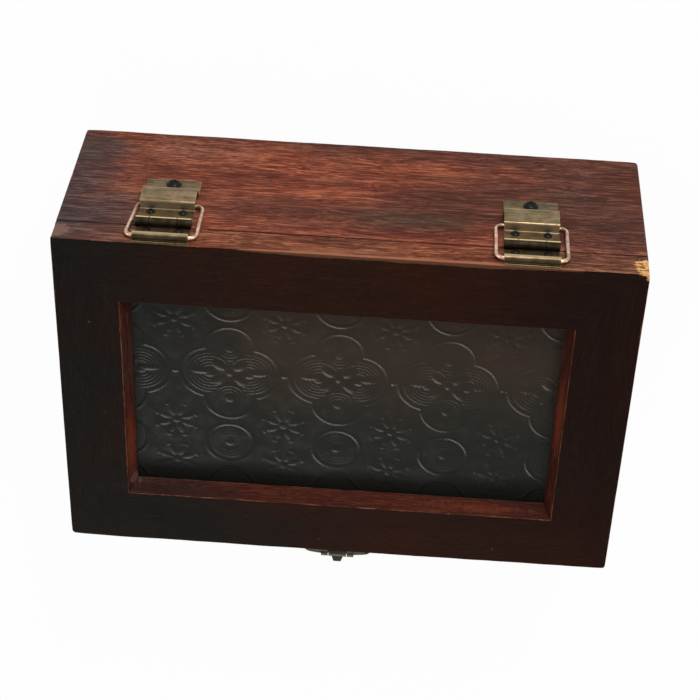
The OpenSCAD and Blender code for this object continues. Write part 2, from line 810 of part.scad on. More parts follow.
module clasp_hasp() {
    color(bronze) at_clasp() difference() {
        union() {
            rotate([90, 0, 0]) translate([0, 0, -tongue_out - hasp_t])
                linear_extrude(hasp_t) polygon(tongue_outline());
            translate([0, hasp_axis_out, -hasp_axis_down]) {
                rod_x(hasp_knuckle_r, hasp_knuckle_w);
                thumb_lift();
            }
        }
        translate([0, hasp_axis_out, -hasp_axis_down])
            rod_x(hasp_pin_r + run_play, hasp_w);
    }
}

module clasp_pin() {
    color(steel) at_clasp() translate([0, hasp_axis_out, -hasp_axis_down])
        rod_x(hasp_pin_r, hasp_knuckle_w + 2 * (side_knuckle_w + move_gap));
}

module clasp_catch_plate() {
    color(bronze) at_clasp() difference() {
        rounded_plate(catch_w, catch_top, catch_top + catch_h, 4, plate_t - 0.2);
        catch_screw_places() rod_y(leaf_hole_r, -through, plate_t + through);
        translate([0, 0, -stud_down]) rod_y(stud_d / 4 + hole_play, -through, plate_t + through);
    }
}

// Round stud: a domed button on the catch plate, with a shank in the wood
module clasp_stud() {
    seat = plate_t - 0.2;
    high = stud_out - seat;
    dome = 2.2 * stud_d / 2;
    color(bronze) at_clasp() translate([0, 0, -stud_down]) {
        intersection() {
            rod_y(stud_d / 2, seat, seat + high);
            translate([0, seat + high - dome, 0]) sphere(r = dome, $fn = 64);
        }
        rod_y(stud_d / 4, hole_play - stud_depth, seat + eps);
    }
}

module clasp_lid_screws() {
    color(blackened) at_clasp() clasp_lid_screw_places() small_screw(screw_seat);
}

module clasp_catch_screws() {
    color(blackened) at_clasp() catch_screw_places() small_screw(plate_t - 0.2);
}

front_wall();
back_wall();
left_wall();
right_wall();
base_panel();
base_brads();
lid_front_rail();
lid_back_rail();
lid_left_stile();
lid_right_stile();
glass_pane();
front_bead();
back_bead();
left_bead();
right_bead();
bead_pins();
left_body_leaf();
left_lid_leaf();
left_hinge_pin();
left_ring();
left_foot_screw();
left_body_leaf_screws();
left_lid_leaf_screws();
right_body_leaf();
right_lid_leaf();
right_hinge_pin();
right_ring();
right_foot_screw();
right_body_leaf_screws();
right_lid_leaf_screws();
clasp_lid_plate();
clasp_hasp();
clasp_pin();
clasp_catch_plate();
clasp_stud();
clasp_lid_screws();
clasp_catch_screws();
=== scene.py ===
"""Looks of the antique glove box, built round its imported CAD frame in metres."""

import logging
import math
from dataclasses import dataclass
from enum import Enum
from typing import Any, Callable, Sequence

import bmesh
import bpy
import numpy as np
from mathutils import Matrix, Vector, noise


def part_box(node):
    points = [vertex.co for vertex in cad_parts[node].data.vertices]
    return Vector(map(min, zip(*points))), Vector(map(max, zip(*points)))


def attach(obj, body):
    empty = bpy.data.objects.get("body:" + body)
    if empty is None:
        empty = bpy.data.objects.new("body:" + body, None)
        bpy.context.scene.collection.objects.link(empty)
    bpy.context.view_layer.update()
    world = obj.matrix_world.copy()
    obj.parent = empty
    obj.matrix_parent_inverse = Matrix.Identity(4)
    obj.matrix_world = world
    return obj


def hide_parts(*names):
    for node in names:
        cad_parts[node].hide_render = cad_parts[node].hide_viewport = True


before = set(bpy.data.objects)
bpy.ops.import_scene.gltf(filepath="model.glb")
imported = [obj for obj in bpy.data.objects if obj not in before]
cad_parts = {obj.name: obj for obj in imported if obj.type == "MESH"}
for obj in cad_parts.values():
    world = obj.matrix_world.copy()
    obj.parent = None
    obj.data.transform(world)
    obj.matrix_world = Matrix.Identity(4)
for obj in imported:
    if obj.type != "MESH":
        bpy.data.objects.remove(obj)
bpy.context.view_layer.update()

LOG = logging.getLogger("glove_box")
MM = 0.001

Colour = tuple[float, float, float]
Point2 = tuple[float, float]
Socket = bpy.types.NodeSocket


# ---- Overall sizes, read from the frame ----

BASE_LOW, BASE_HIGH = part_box("base_panel")
BACK_LOW, BACK_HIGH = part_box("back_wall")
SIDE_LOW, SIDE_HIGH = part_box("right_wall")
LID_LOW, LID_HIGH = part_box("lid_back_rail")
PANE_LOW, PANE_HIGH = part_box("glass_pane")

HALF_W = BACK_HIGH.x
HALF_D = BACK_HIGH.y
SEAM_Z = BACK_HIGH.z
TOP_Z = LID_HIGH.z
PANE_T = 3 * MM
GLASS_TOP = PANE_LOW.z + PANE_T
WALL_T = HALF_D - BACK_LOW.y
INNER_HALF_W = SIDE_LOW.x
LAP_Y = SIDE_HIGH.y
BASE_T = BASE_HIGH.z
PANEL_PLAY = 0.2 * MM
SIGHT_FRONT_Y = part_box("lid_front_rail")[1].y
SIGHT_BACK_Y = LID_LOW.y
SIGHT_X = HALF_W - (SIGHT_FRONT_Y + HALF_D)
REBATE_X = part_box("left_bead")[0].x
BACK_SHARE = (HALF_D - SIGHT_BACK_Y) / (HALF_D + SIGHT_FRONT_Y)
SPLAY_RUN = 3.4 * MM
SPLAY_ARRIS = 0.8 * MM
EASE = 0.2 * MM

PIN_LOW, PIN_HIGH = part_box("left_hinge_pin")
PIN_Y = (PIN_LOW.y + PIN_HIGH.y) / 2
PIN_Z = (PIN_LOW.z + PIN_HIGH.z) / 2
WIRE_R = 0.9 * MM
BARREL_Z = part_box("left_ring")[1].z - WIRE_R
FOOT_LOW_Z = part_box("left_body_leaf")[0].z
BRIDGE_LOW = FOOT_LOW_Z + 12.8 * MM
BRIDGE_HIGH = FOOT_LOW_Z + 23.1 * MM
HEAD_SINK = 0.3 * MM

STATION_PITCH = 2.5 * MM
ON_SIDE = 1 * MM
ON_TOP = 0.3 * MM
TOUCH = 1e-6
CUT_REACH = 1e-7
SQUARE_ON = 0.9


def screw_places() -> list[tuple[Vector, float]]:
    """Outer centres and radii of the heads of the hinge screws."""
    found = []
    for side in ("left", "right"):
        for part in ("foot_screw", "body_leaf_screws", "lid_leaf_screws"):
            low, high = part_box(f"{side}_{part}")
            radius = (high.z - low.z) / 2
            middle = (low.z + high.z) / 2
            for x in sorted({round(low.x + radius, 6), round(high.x - radius, 6)}):
                found.append((Vector((x, high.y - HEAD_SINK, middle)), radius))
    return found


SCREW_PLACES = screw_places()


class Axis(Enum):
    """Direction that the grain of a piece of wood runs in."""

    X = "x"
    Y = "y"


# ---- Materials ----


class Graph:
    """Node tree of one material, with short calls for the nodes that the finishes share."""

    def __init__(self, name: str) -> None:
        """Starts a material that has a Principled shader and nothing else.

        Args:
            name: Name of the material.
        """
        self.material = bpy.data.materials.new(name)
        self.material.use_nodes = True
        self.nodes = self.material.node_tree.nodes
        self.links = self.material.node_tree.links
        self.nodes.clear()
        output = self.nodes.new("ShaderNodeOutputMaterial")
        self.shader = self.nodes.new("ShaderNodeBsdfPrincipled")
        self.links.new(self.shader.outputs[0], output.inputs["Surface"])

    def put(self, socket: Socket, value: Any) -> None:
        """Links a socket to another one, or sets it to a plain value.

        Args:
            socket: Input to fill.
            value: Output socket, number, colour or vector.
        """
        if isinstance(value, bpy.types.NodeSocket):
            self.links.new(value, socket)
        elif socket.type == "RGBA" and len(value) == 3:
            socket.default_value = (*value, 1.0)
        else:
            socket.default_value = value

    def set(self, **inputs: Any) -> None:
        """Fills inputs of the Principled shader, with underscores for the blanks in their names."""
        for name, value in inputs.items():
            self.put(self.shader.inputs[name.replace("_", " ")], value)

    def place(self, scale: Sequence[float] = (1, 1, 1), shift: Any = (0, 0, 0)) -> Socket:
        """Object coordinates through a Mapping node.

        Args:
            scale: Scale of each axis.
            shift: Location of the mapping.

        Returns:
            The mapped vector.
        """
        mapping = self.nodes.new("ShaderNodeMapping")
        self.put(mapping.inputs["Vector"], self.object_coordinates())
        self.put(mapping.inputs["Location"], shift)
        self.put(mapping.inputs["Scale"], tuple(scale))
        return mapping.outputs[0]

    def object_coordinates(self) -> Socket:
        """Object coordinates of the point, from one shared node."""
        found = self.nodes.get("coordinates")
        if found is None:
            found = self.nodes.new("ShaderNodeTexCoord")
            found.name = "coordinates"
        return found.outputs["Object"]

    def noise(self, vector: Socket, scale: float = 1.0, detail: float = 2.0,
              roughness: float = 0.5) -> Socket:
        """Perlin noise.

        Args:
            vector: Place to read it at.
            scale: Scale of the noise.
            detail: Number of octaves.
            roughness: Weight of the fine octaves.

        Returns:
            The factor, about 0.5 on average.
        """
        made = self.nodes.new("ShaderNodeTexNoise")
        self.put(made.inputs["Vector"], vector)
        self.put(made.inputs["Scale"], scale)
        self.put(made.inputs["Detail"], detail)
        self.put(made.inputs["Roughness"], roughness)
        return made.outputs[0]

    def cells(self, vector: Socket, scale: float) -> Socket:
        """Distance to the nearest of the random points of a Voronoi texture."""
        made = self.nodes.new("ShaderNodeTexVoronoi")
        self.put(made.inputs["Vector"], vector)
        self.put(made.inputs["Scale"], scale)
        return made.outputs["Distance"]

    def mottle(self, scale: float, detail: float = 2.0, roughness: float = 0.5) -> Socket:
        """Noise that is alike in all directions."""
        return self.noise(self.place(), scale, detail, roughness)

    def math(self, operation: str, a: Any, b: Any = 0.0) -> Socket:
        """One Math node.

        Args:
            operation: Name of the operation.
            a: First operand.
            b: Second operand.

        Returns:
            The value.
        """
        made = self.nodes.new("ShaderNodeMath")
        made.operation = operation
        self.put(made.inputs[0], a)
        self.put(made.inputs[1], b)
        return made.outputs[0]

    def add(self, a: Any, b: Any) -> Socket:
        """Sum of two values."""
        return self.math("ADD", a, b)

    def sub(self, a: Any, b: Any) -> Socket:
        """First value less the second."""
        return self.math("SUBTRACT", a, b)

    def mul(self, a: Any, b: Any) -> Socket:
        """Product of two values."""
        return self.math("MULTIPLY", a, b)

    def most(self, a: Any, b: Any) -> Socket:
        """Larger of two values."""
        return self.math("MAXIMUM", a, b)

    def least(self, a: Any, b: Any) -> Socket:
        """Smaller of two values."""
        return self.math("MINIMUM", a, b)

    def around(self, factor: Any, amount: float) -> Socket:
        """Noise moved to lie around 0, times an amount."""
        return self.mul(self.sub(factor, 0.5), amount)

    def fade(self, value: Any, low: Any, high: Any, to_low: float = 0.0,
             to_high: float = 1.0) -> Socket:
        """Smooth step from to_low at low to to_high at high.

        Args:
            value: Value to map.
            low: Start of the step.
            high: End of the step.
            to_low: Result at the start.
            to_high: Result at the end.

        Returns:
            The mapped value.
        """
        made = self.nodes.new("ShaderNodeMapRange")
        made.interpolation_type = "SMOOTHSTEP"
        for name, entry in zip(("Value", "From Min", "From Max", "To Min", "To Max"),
                               (value, low, high, to_low, to_high)):
            self.put(made.inputs[name], entry)
        return made.outputs[0]

    def band(self, value: Any, centre: float, outer: float, inner: float, peak: float = 1.0) -> Socket:
        """Peak within the inner distance of a centre, and 0 beyond the outer one."""
        return self.fade(self.math("ABSOLUTE", self.sub(value, centre)), outer, inner, 0.0, peak)

    def ramp(self, factor: Socket, stops: Sequence[tuple[float, Colour]]) -> Socket:
        """Colour ramp.

        Args:
            factor: Place on the ramp.
            stops: Places and colours.

        Returns:
            The colour.
        """
        made = self.nodes.new("ShaderNodeValToRGB")
        elements = made.color_ramp.elements
        while len(elements) < len(stops):
            elements.new(0.5)
        for element, (place, colour) in zip(elements, stops):
            element.position = place
            element.color = (*colour, 1.0)
        self.put(made.inputs[0], factor)
        return made.outputs[0]

    def blend(self, factor: Any, a: Any, b: Any, kind: str = "MIX") -> Socket:
        """Mixes two colours.

        Args:
            factor: Share of the second colour.
            a: First colour.
            b: Second colour.
            kind: Blend mode.

        Returns:
            The mixed colour.
        """
        made = self.nodes.new("ShaderNodeMix")
        made.data_type = "RGBA"
        made.blend_type = kind
        self.put(made.inputs[0], factor)
        self.put(made.inputs[6], a)
        self.put(made.inputs[7], b)
        return made.outputs[2]

    def times(self, a: Any, b: Any) -> Socket:
        """Product of two colours."""
        return self.blend(1.0, a, b, "MULTIPLY")

    def lay(self, colour: Any, tone: Any, mask: Any, strength: Any) -> Socket:
        """Colour with a tone laid over it where the mask is."""
        return self.blend(self.mul(mask, strength), colour, tone)

    def axes(self, vector: Socket) -> tuple[Socket, Socket, Socket]:
        """Splits a vector into its three parts."""
        made = self.nodes.new("ShaderNodeSeparateXYZ")
        self.put(made.inputs[0], vector)
        return made.outputs[0], made.outputs[1], made.outputs[2]

    def vector(self, x: Any, y: Any, z: Any) -> Socket:
        """Joins three values into a vector."""
        made = self.nodes.new("ShaderNodeCombineXYZ")
        for socket, value in zip(made.inputs, (x, y, z)):
            self.put(socket, value)
        return made.outputs[0]

    def attribute(self, name: str) -> bpy.types.Node:
        """Attribute node of the piece's own mesh."""
        made = self.nodes.new("ShaderNodeAttribute")
        made.attribute_name = name
        return made

    def bump(self, height: Socket, strength: float, distance: float) -> Socket:
        """Bump from a height.

        Args:
            height: Height between 0 and 1.
            strength: Strength of the bump.
            distance: Real height of a step from 0 to 1, in metres.

        Returns:
            The bent normal.
        """
        made = self.nodes.new("ShaderNodeBump")
        self.put(made.inputs["Height"], height)
        self.put(made.inputs["Strength"], strength)
        self.put(made.inputs["Distance"], distance)
        return made.outputs[0]


@dataclass(frozen=True)
class FaceTone:
    """Tone of one face, in linear colour: its stain with painted light, lighter or darker by how light
    falls on the face.
    """

    colour: Colour


# Painted light in the face tones: the back faces of box and lid are lighter and the lid top far darker
# than one stain would be, as lit and shaded copies of it; the ends, front, splays and arrises lie in
# between.
PAINTED_LIT_BACK = FaceTone((0.155, 0.0440, 0.0252))
SIDE_RED = FaceTone((0.105, 0.030, 0.018))
LID_EDGE = FaceTone((0.126, 0.0405, 0.0218))
PAINTED_SHADE_LID_TOP = FaceTone((0.0155, 0.0062, 0.0038))
SPLAY = FaceTone((0.048, 0.0126, 0.0078))
ARRIS = FaceTone((0.120, 0.036, 0.020))
INSIDE = FaceTone((0.060, 0.024, 0.016))


@dataclass(frozen=True)
class Smudge:
    """Soft patch in the wood, an ellipsoid, used for soot, darker stain and filler, and among the
    streaks for painted highlights.
    """

    centre: tuple[float, float, float]
    radii: tuple[float, float, float]
    strength: float
    tone: Colour = (0.0530, 0.0210, 0.0155)


CHARRED: Colour = (0.0520, 0.0315, 0.0280)
SMUDGES = (
    Smudge((0.000, 0.080, 0.055), (0.105, 0.010, 0.015), 0.80),
    Smudge((0.045, 0.080, 0.044), (0.066, 0.010, 0.022), 0.78),
    Smudge((0.122, 0.080, 0.028), (0.090, 0.010, 0.070), 0.78),
    Smudge((0.104, 0.080, 0.054), (0.030, 0.010, 0.009), 0.60),
    Smudge((0.050, 0.080, 0.033), (0.062, 0.010, 0.018), 0.55),
    Smudge((0.020, 0.080, 0.064), (0.096, 0.010, 0.010), 0.45),
    Smudge((0.005, 0.080, -0.001), (0.085, 0.010, 0.019), 0.92),
    Smudge((-0.126, 0.080, 0.060), (0.044, 0.034, 0.075), 0.95, CHARRED),
    Smudge((-0.120, 0.080, 0.018), (0.030, 0.028, 0.034), 0.95, CHARRED),
    Smudge((-0.102, 0.080, 0.066), (0.036, 0.010, 0.030), 0.75, CHARRED),
    Smudge((0.028, 0.080, 0.0570), (0.042, 0.010, 0.0085), 0.62, (0.040, 0.030, 0.022)),
    Smudge((-0.060, -0.080, 0.020), (0.050, 0.010, 0.014), 0.55),
    Smudge((0.075, -0.080, 0.060), (0.030, 0.010, 0.010), 0.65),
    Smudge((0.120, -0.040, 0.040), (0.010, 0.036, 0.012), 0.60),
    Smudge((-0.120, 0.010, 0.030), (0.010, 0.040, 0.012), 0.60),
)
RUBBED_EDGE = Smudge((0.024, 0.080, 0.0864), (0.086, 0.008, 0.007), 1.0)
# Streaks laid on the wood. Painted highlights: the warm streaks along the left and right splays and the
# lighter streaks on the back faces of box and lid; the warm streak along the lower edge of the front
# splay at the right is part painted highlight, part rubbed wear. The first streak is a darker patch at
# the left of the front splay.
WARM_HIGHLIGHT: Colour = (0.130, 0.027, 0.012)
STREAKS = (
    Smudge((-0.0780, -0.0500, 0.084), (0.0420, 0.0045, 0.005), 0.75, (0.0200, 0.0105, 0.0080)),
    Smudge((-0.0915, -0.0280, 0.083), (0.0030, 0.0260, 0.006), 0.75, WARM_HIGHLIGHT),
    Smudge((0.0915, 0.0020, 0.083), (0.0030, 0.0300, 0.006), 0.80, WARM_HIGHLIGHT),
    Smudge((0.0600, -0.0505, 0.084), (0.0360, 0.0030, 0.004), 0.75, WARM_HIGHLIGHT),
    Smudge((-0.0110, 0.0800, 0.0300), (0.0150, 0.0060, 0.0030), 0.42, (0.270, 0.105, 0.050)),
    Smudge((0.0370, 0.0800, 0.0205), (0.0130, 0.0060, 0.0040), 0.34, (0.250, 0.095, 0.045)),
    Smudge((-0.0050, 0.0800, 0.0830), (0.0420, 0.0060, 0.0024), 0.40, (0.240, 0.090, 0.042)),
)
FILLER = Smudge((-0.0900, -0.0480, 0.082), (0.0032, 0.0036, 0.004), 0.75, (0.110, 0.055, 0.045))
PORE_TONE: Colour = (0.013, 0.0065, 0.0055)
SPECK_TONE: Colour = (0.22, 0.15, 0.12)
SEAM_TONE: Colour = (0.012, 0.006, 0.005)
COOL_CAST: Colour = (0.88, 0.98, 1.06)
WARM_CAST: Colour = (1.10, 1.00, 0.94)
GRAIN_TONES = ((0.0, (0.42, 0.41, 0.46)), (0.40, (0.82, 0.80, 0.84)),
               (0.65, (1.16, 1.18, 1.15)), (1.0, (2.10, 2.60, 2.50)))
# Colour cast across the dark lid faces, from left to right and cooler towards the front: cool grey at
# the front left, partly a painted sheen, redder in the middle, duller at the right.
LID_CAST = ((0.06, (0.55, 1.02, 1.30)), (0.36, (1.30, 1.00, 0.85)),
            (0.62, (1.30, 0.98, 0.80)), (0.90, (0.80, 0.76, 0.80)))


@dataclass(frozen=True)
class Chip:
    """Place on a corner where the stain has broken off."""

    centre: tuple[float, float, float]
    radii: tuple[float, float, float]
    depth: float

    def depth_at(self, place: Vector) -> float:
        """Depth of the break at a place.

        Args:
            place: Point of the mesh.

        Returns:
            Depth in metres, 0 outside the chip.
        """
        offset = Vector([(p - c) / r for p, c, r in zip(place, self.centre, self.radii)])
        ragged = 1 + 0.3 * noise.noise(place * 450)
        inside = 1 - offset.length / ragged
        return self.depth * min(1.0, max(0.0, inside) * 2.2)


RAW_CHIP = Chip((0.1200, 0.0800, 0.0810), (6.2 * MM, 5.0 * MM, 6.4 * MM), 0.45 * MM)
RUBBED_CHIP = Chip((-0.1190, 0.0800, 0.0805), (7.0 * MM, 5.0 * MM, 5.0 * MM), 0.25 * MM)


@dataclass(frozen=True)
class StainedWood:
    """Stained, charred and worn hardwood with its grain along one axis."""

    name: str
    grain: Axis
    z_low: float
    z_high: float
    worn: Colour = (0.33, 0.135, 0.070)
    raw: Colour = (0.46, 0.235, 0.080)
    rubbed: Colour = (0.155, 0.085, 0.070)

    def along(self, length: float, width: float) -> tuple[float, float, float]:
        """Scale of a texture whose features have a length along the grain and a width across it.

        Args:
            length: Length of a feature.
            width: Width of a feature.

        Returns:
            The scale of each axis.
        """
        if self.grain is Axis.X:
            return 1 / length, 1 / width, 1 / width
        return 1 / width, 1 / length, 1 / width

    def edge_distance(self, g: Graph) -> Socket:
        """Distance of a point on the faces to the nearest outer edge of the box or lid.

        Args:
            g: Graph of the material.

        Returns:
            The distance in metres.
        """
        x, y, z = g.axes(g.object_coordinates())
        from_end = g.sub(HALF_W, g.math("ABSOLUTE", x))
        from_side = g.sub(HALF_D, g.math("ABSOLUTE", y))
        from_rim = g.least(g.sub(z, self.z_low), g.sub(self.z_high, z))
        farther = g.most(from_end, from_side)
        return g.most(g.least(from_end, from_side), g.least(farther, from_rim))

    def patch(self, g: Graph, spot: Smudge | Chip, ragged: Socket, spread: float, soft: float) -> Socket:
        """Mask of an ellipsoid with a ragged border.

        Args:
            g: Graph of the material.
            spot: Gives its centre and its radii.
            ragged: Noise that breaks the border up.
            spread: Share of the radius that the noise moves the border by.
            soft: Share of the radius over which the mask fades.

        Returns:
            1 inside the ellipsoid and 0 outside.
        """
        scale = tuple(1 / r for r in spot.radii)
        shift = tuple(-c / r for c, r in zip(spot.centre, spot.radii))
        made = g.nodes.new("ShaderNodeVectorMath")
        made.operation = "LENGTH"
        g.put(made.inputs[0], g.place(scale, shift))
        return g.fade(g.add(made.outputs["Value"], g.around(ragged, spread)), 1.0, 1.0 - soft)

    def grain_layer(self, g: Graph, base: Socket, length: float, width: float, detail: float,
                    roughness: float = 0.55) -> Socket:
        """Noise drawn out along the grain.

        Args:
            g: Graph of the material.
            base: Swaying coordinates.
            length: Length of a feature.
            width: Width of a feature.
            detail: Octaves of the noise.
            roughness: Weight of the fine octaves.

        Returns:
            The factor.
        """
        mapping = g.nodes.new("ShaderNodeMapping")
        g.put(mapping.inputs["Vector"], base)
        g.put(mapping.inputs["Scale"], self.along(length, width))
        return g.noise(mapping.outputs[0], detail=detail, roughness=roughness)

    def swaying(self, g: Graph) -> Socket:
        """Object coordinates that wander a little across the grain.

        Args:
            g: Graph of the material.

        Returns:
            The coordinates.
        """
        wide = g.around(g.noise(g.place(self.along(0.055, 0.020))), 0.0070)
        fine = g.around(g.noise(g.place(self.along(0.020, 0.010))), 0.0024)
        sway = g.add(wide, fine)
        across = (0.0, sway, sway) if self.grain is Axis.X else (sway, 0.0, sway)
        bent = g.nodes.new("ShaderNodeVectorMath")
        g.put(bent.inputs[0], g.object_coordinates())
        g.put(bent.inputs[1], g.vector(*across))
        return bent.outputs[0]

    def material(self) -> bpy.types.Material:
        """Builds the material.

        Returns:
            The material, which reads the face tone, stain with painted light, from the attribute
            "stain".
        """
        g = Graph(self.name)
        stain = g.attribute("stain").outputs["Color"]
        base = self.swaying(g)
        figure = self.grain_layer(g, base, 0.075, 0.0070, 3.0)
        dashes = self.grain_layer(g, base, 0.0125, 0.00090, 2.0, 0.6)
        fibres = self.grain_layer(g, base, 0.0150, 0.00048, 2.5, 0.65)
        pores = g.fade(self.grain_layer(g, base, 0.0055, 0.00065, 1.0), 0.62, 0.70)
        tone = g.add(g.mul(figure, 0.22), g.add(g.mul(dashes, 0.30), g.mul(fibres, 0.48)))
        grain = g.ramp(g.fade(tone, 0.39, 0.61), GRAIN_TONES)
        lit_stain = g.fade(g.axes(stain)[0], 0.03, 0.08)
        grain = g.blend(g.sub(0.72, g.mul(lit_stain, 0.72)), grain, (0.95, 0.95, 0.95))
        grit = g.fade(self.grain_layer(g, base, 0.0022, 0.00042, 3.0, 0.7), 0.34, 0.66, 0.80, 1.22)
        grain = g.times(grain, g.vector(grit, grit, grit))
        colour = g.lay(g.times(stain, grain), PORE_TONE, pores, 0.50)

        breakup = g.mottle(420.0, 4.0, 0.62)
        patches = g.mottle(46.0, 3.0)
        blotch = g.noise(g.place(self.along(0.045, 0.013)), detail=4.0, roughness=0.6)
        texture = g.blend(0.35, grain, (1, 1, 1))
        lit_soot = g.mul(g.fade(blotch, 0.48, 0.78), g.mul(lit_stain, 0.30))
        colour = g.blend(lit_soot, colour, g.times(texture, SMUDGES[0].tone))
        for smudge in SMUDGES:
            mask = self.patch(g, smudge, blotch, 1.1, 0.80)
            share = g.mul(lit_stain, g.mul(mask, smudge.strength))
            colour = g.blend(share, colour, g.times(texture, smudge.tone))
        drift = g.fade(g.mottle(16.0), 0.36, 0.64)
        colour = g.times(colour, g.blend(drift, COOL_CAST, WARM_CAST))
        x, y, z = g.axes(g.object_coordinates())
        # Colour cast over the dark faces, the lid top most; at the front left it is partly a painted
        # sheen.
        across = g.sub(g.add(g.mul(x, 0.5 / HALF_W), 0.5), g.fade(y, -0.045, -0.070, 0.0, 0.20))
        cast = g.ramp(g.add(across, g.around(patches, 0.25)), LID_CAST)
        dark_faces = g.sub(1.0, g.fade(g.axes(stain)[0], 0.028, 0.078))
        colour = g.blend(dark_faces, colour, g.times(colour, cast))
        # Streaks: mostly painted highlights, and one darker patch.
        for streak in STREAKS:
            mask = self.patch(g, streak, breakup, 1.2, 0.8)
            colour = g.lay(colour, streak.tone, mask, streak.strength)
        colour = g.lay(colour, FILLER.tone, self.patch(g, FILLER, breakup, 1.4, 0.3), FILLER.strength)

        rubbed_edge = self.patch(g, RUBBED_EDGE, patches, 1.2, 0.6)
        reach = g.mul(g.sub(g.add(g.mul(breakup, 0.35), g.mul(patches, 1.6)), 1.05), 0.0026)
        reach = g.add(reach, g.fade(rubbed_edge, 0.0, 1.0, -0.0004, 0.0013))
        worn = g.fade(g.sub(self.edge_distance(g), reach), 0.00075, 0.00025)
        worn_tone = g.blend(0.30, g.times(stain, (2.0, 2.4, 2.3)), self.worn)
        colour = g.lay(colour, worn_tone, worn, 0.72)
        specks = g.mul(g.fade(g.cells(g.place(), 150.0), 0.075, 0.045), g.fade(patches, 0.55, 0.62))
        colour = g.lay(colour, SPECK_TONE, specks, 0.35)
        raw = self.patch(g, RAW_CHIP, breakup, 1.5, 0.12)
        rubbed = self.patch(g, RUBBED_CHIP, breakup, 1.5, 0.3)
        raw_tone = g.ramp(g.fade(g.add(breakup, g.sub(fibres, 0.5)), 0.35, 0.65), (
            (0.0, (0.16, 0.062, 0.022)), (0.45, self.raw), (1.0, (0.62, 0.36, 0.13))))
        colour = g.lay(g.blend(raw, colour, raw_tone), self.rubbed, rubbed, 0.75)
        colour = g.lay(colour, SEAM_TONE, g.band(z, SEAM_Z, 0.00070, 0.00025), 0.82)

        height = g.sub(g.add(g.mul(dashes, 0.55), g.mul(fibres, 0.45)), g.mul(pores, 0.5))
        height = g.sub(height, g.mul(raw, g.add(0.5, breakup)))
        g.set(Base_Color=colour, Specular_IOR_Level=0.022,
              Roughness=g.fade(g.add(tone, g.mul(pores, 0.3)), 0.3, 0.8, 0.44, 0.70),
              Normal=g.bump(height, 0.55, 0.00022))
        return g.material


@dataclass(frozen=True)
class RolledGlass:
    """Smoke-grey rolled glass."""

    name: str = "rolled_glass"
    brown: Colour = (0.0375, 0.0235, 0.0155)
    green: Colour = (0.0135, 0.0145, 0.0105)
    # Tone of the painted shadow of the frame.
    painted_frame_shade: Colour = (0.0050, 0.0048, 0.0038)

    def material(self) -> bpy.types.Material:
        """Builds the material.

        Returns:
            The material: brown at the back, greener at the left and front, and darkened by a painted
                shadow of the frame along the front edge and, fainter, along the sides.
        """
        g = Graph(self.name)
        x, y, _ = g.axes(g.object_coordinates())
        wander = g.around(g.mottle(28.0), 0.05)
        warm = g.mul(g.fade(g.add(y, wander), -0.022, 0.032), g.fade(g.add(x, wander), -0.080, -0.030))
        # Painted shadow of the frame: darker along the front edge and, fainter, along the sides, with
        # less specular there.
        from_front = g.sub(g.add(y, g.mul(wander, 0.4)), SIGHT_FRONT_Y)
        from_side = g.sub(SIGHT_X, g.math("ABSOLUTE", x))
        painted_frame_shade = g.most(g.fade(from_front, 0.0165, 0.0060), g.mul(g.fade(from_side, 0.0060, 0.0010), 0.7))
        grime_and_shade = g.mottle(140.0, 4.0, 0.6)
        g.set(Base_Color=g.lay(g.blend(warm, self.green, self.brown), self.painted_frame_shade, painted_frame_shade, 0.80),
              Transmission_Weight=0.12, IOR=1.5,
              Specular_IOR_Level=g.fade(painted_frame_shade, 0.0, 1.0, 0.042, 0.008),
              Roughness=g.fade(g.add(grime_and_shade, g.mul(painted_frame_shade, 0.5)), 0.3, 0.9, 0.14, 0.42),
              Normal=g.bump(g.mottle(900.0, 3.0), 0.25, 0.00012))
        return g.material


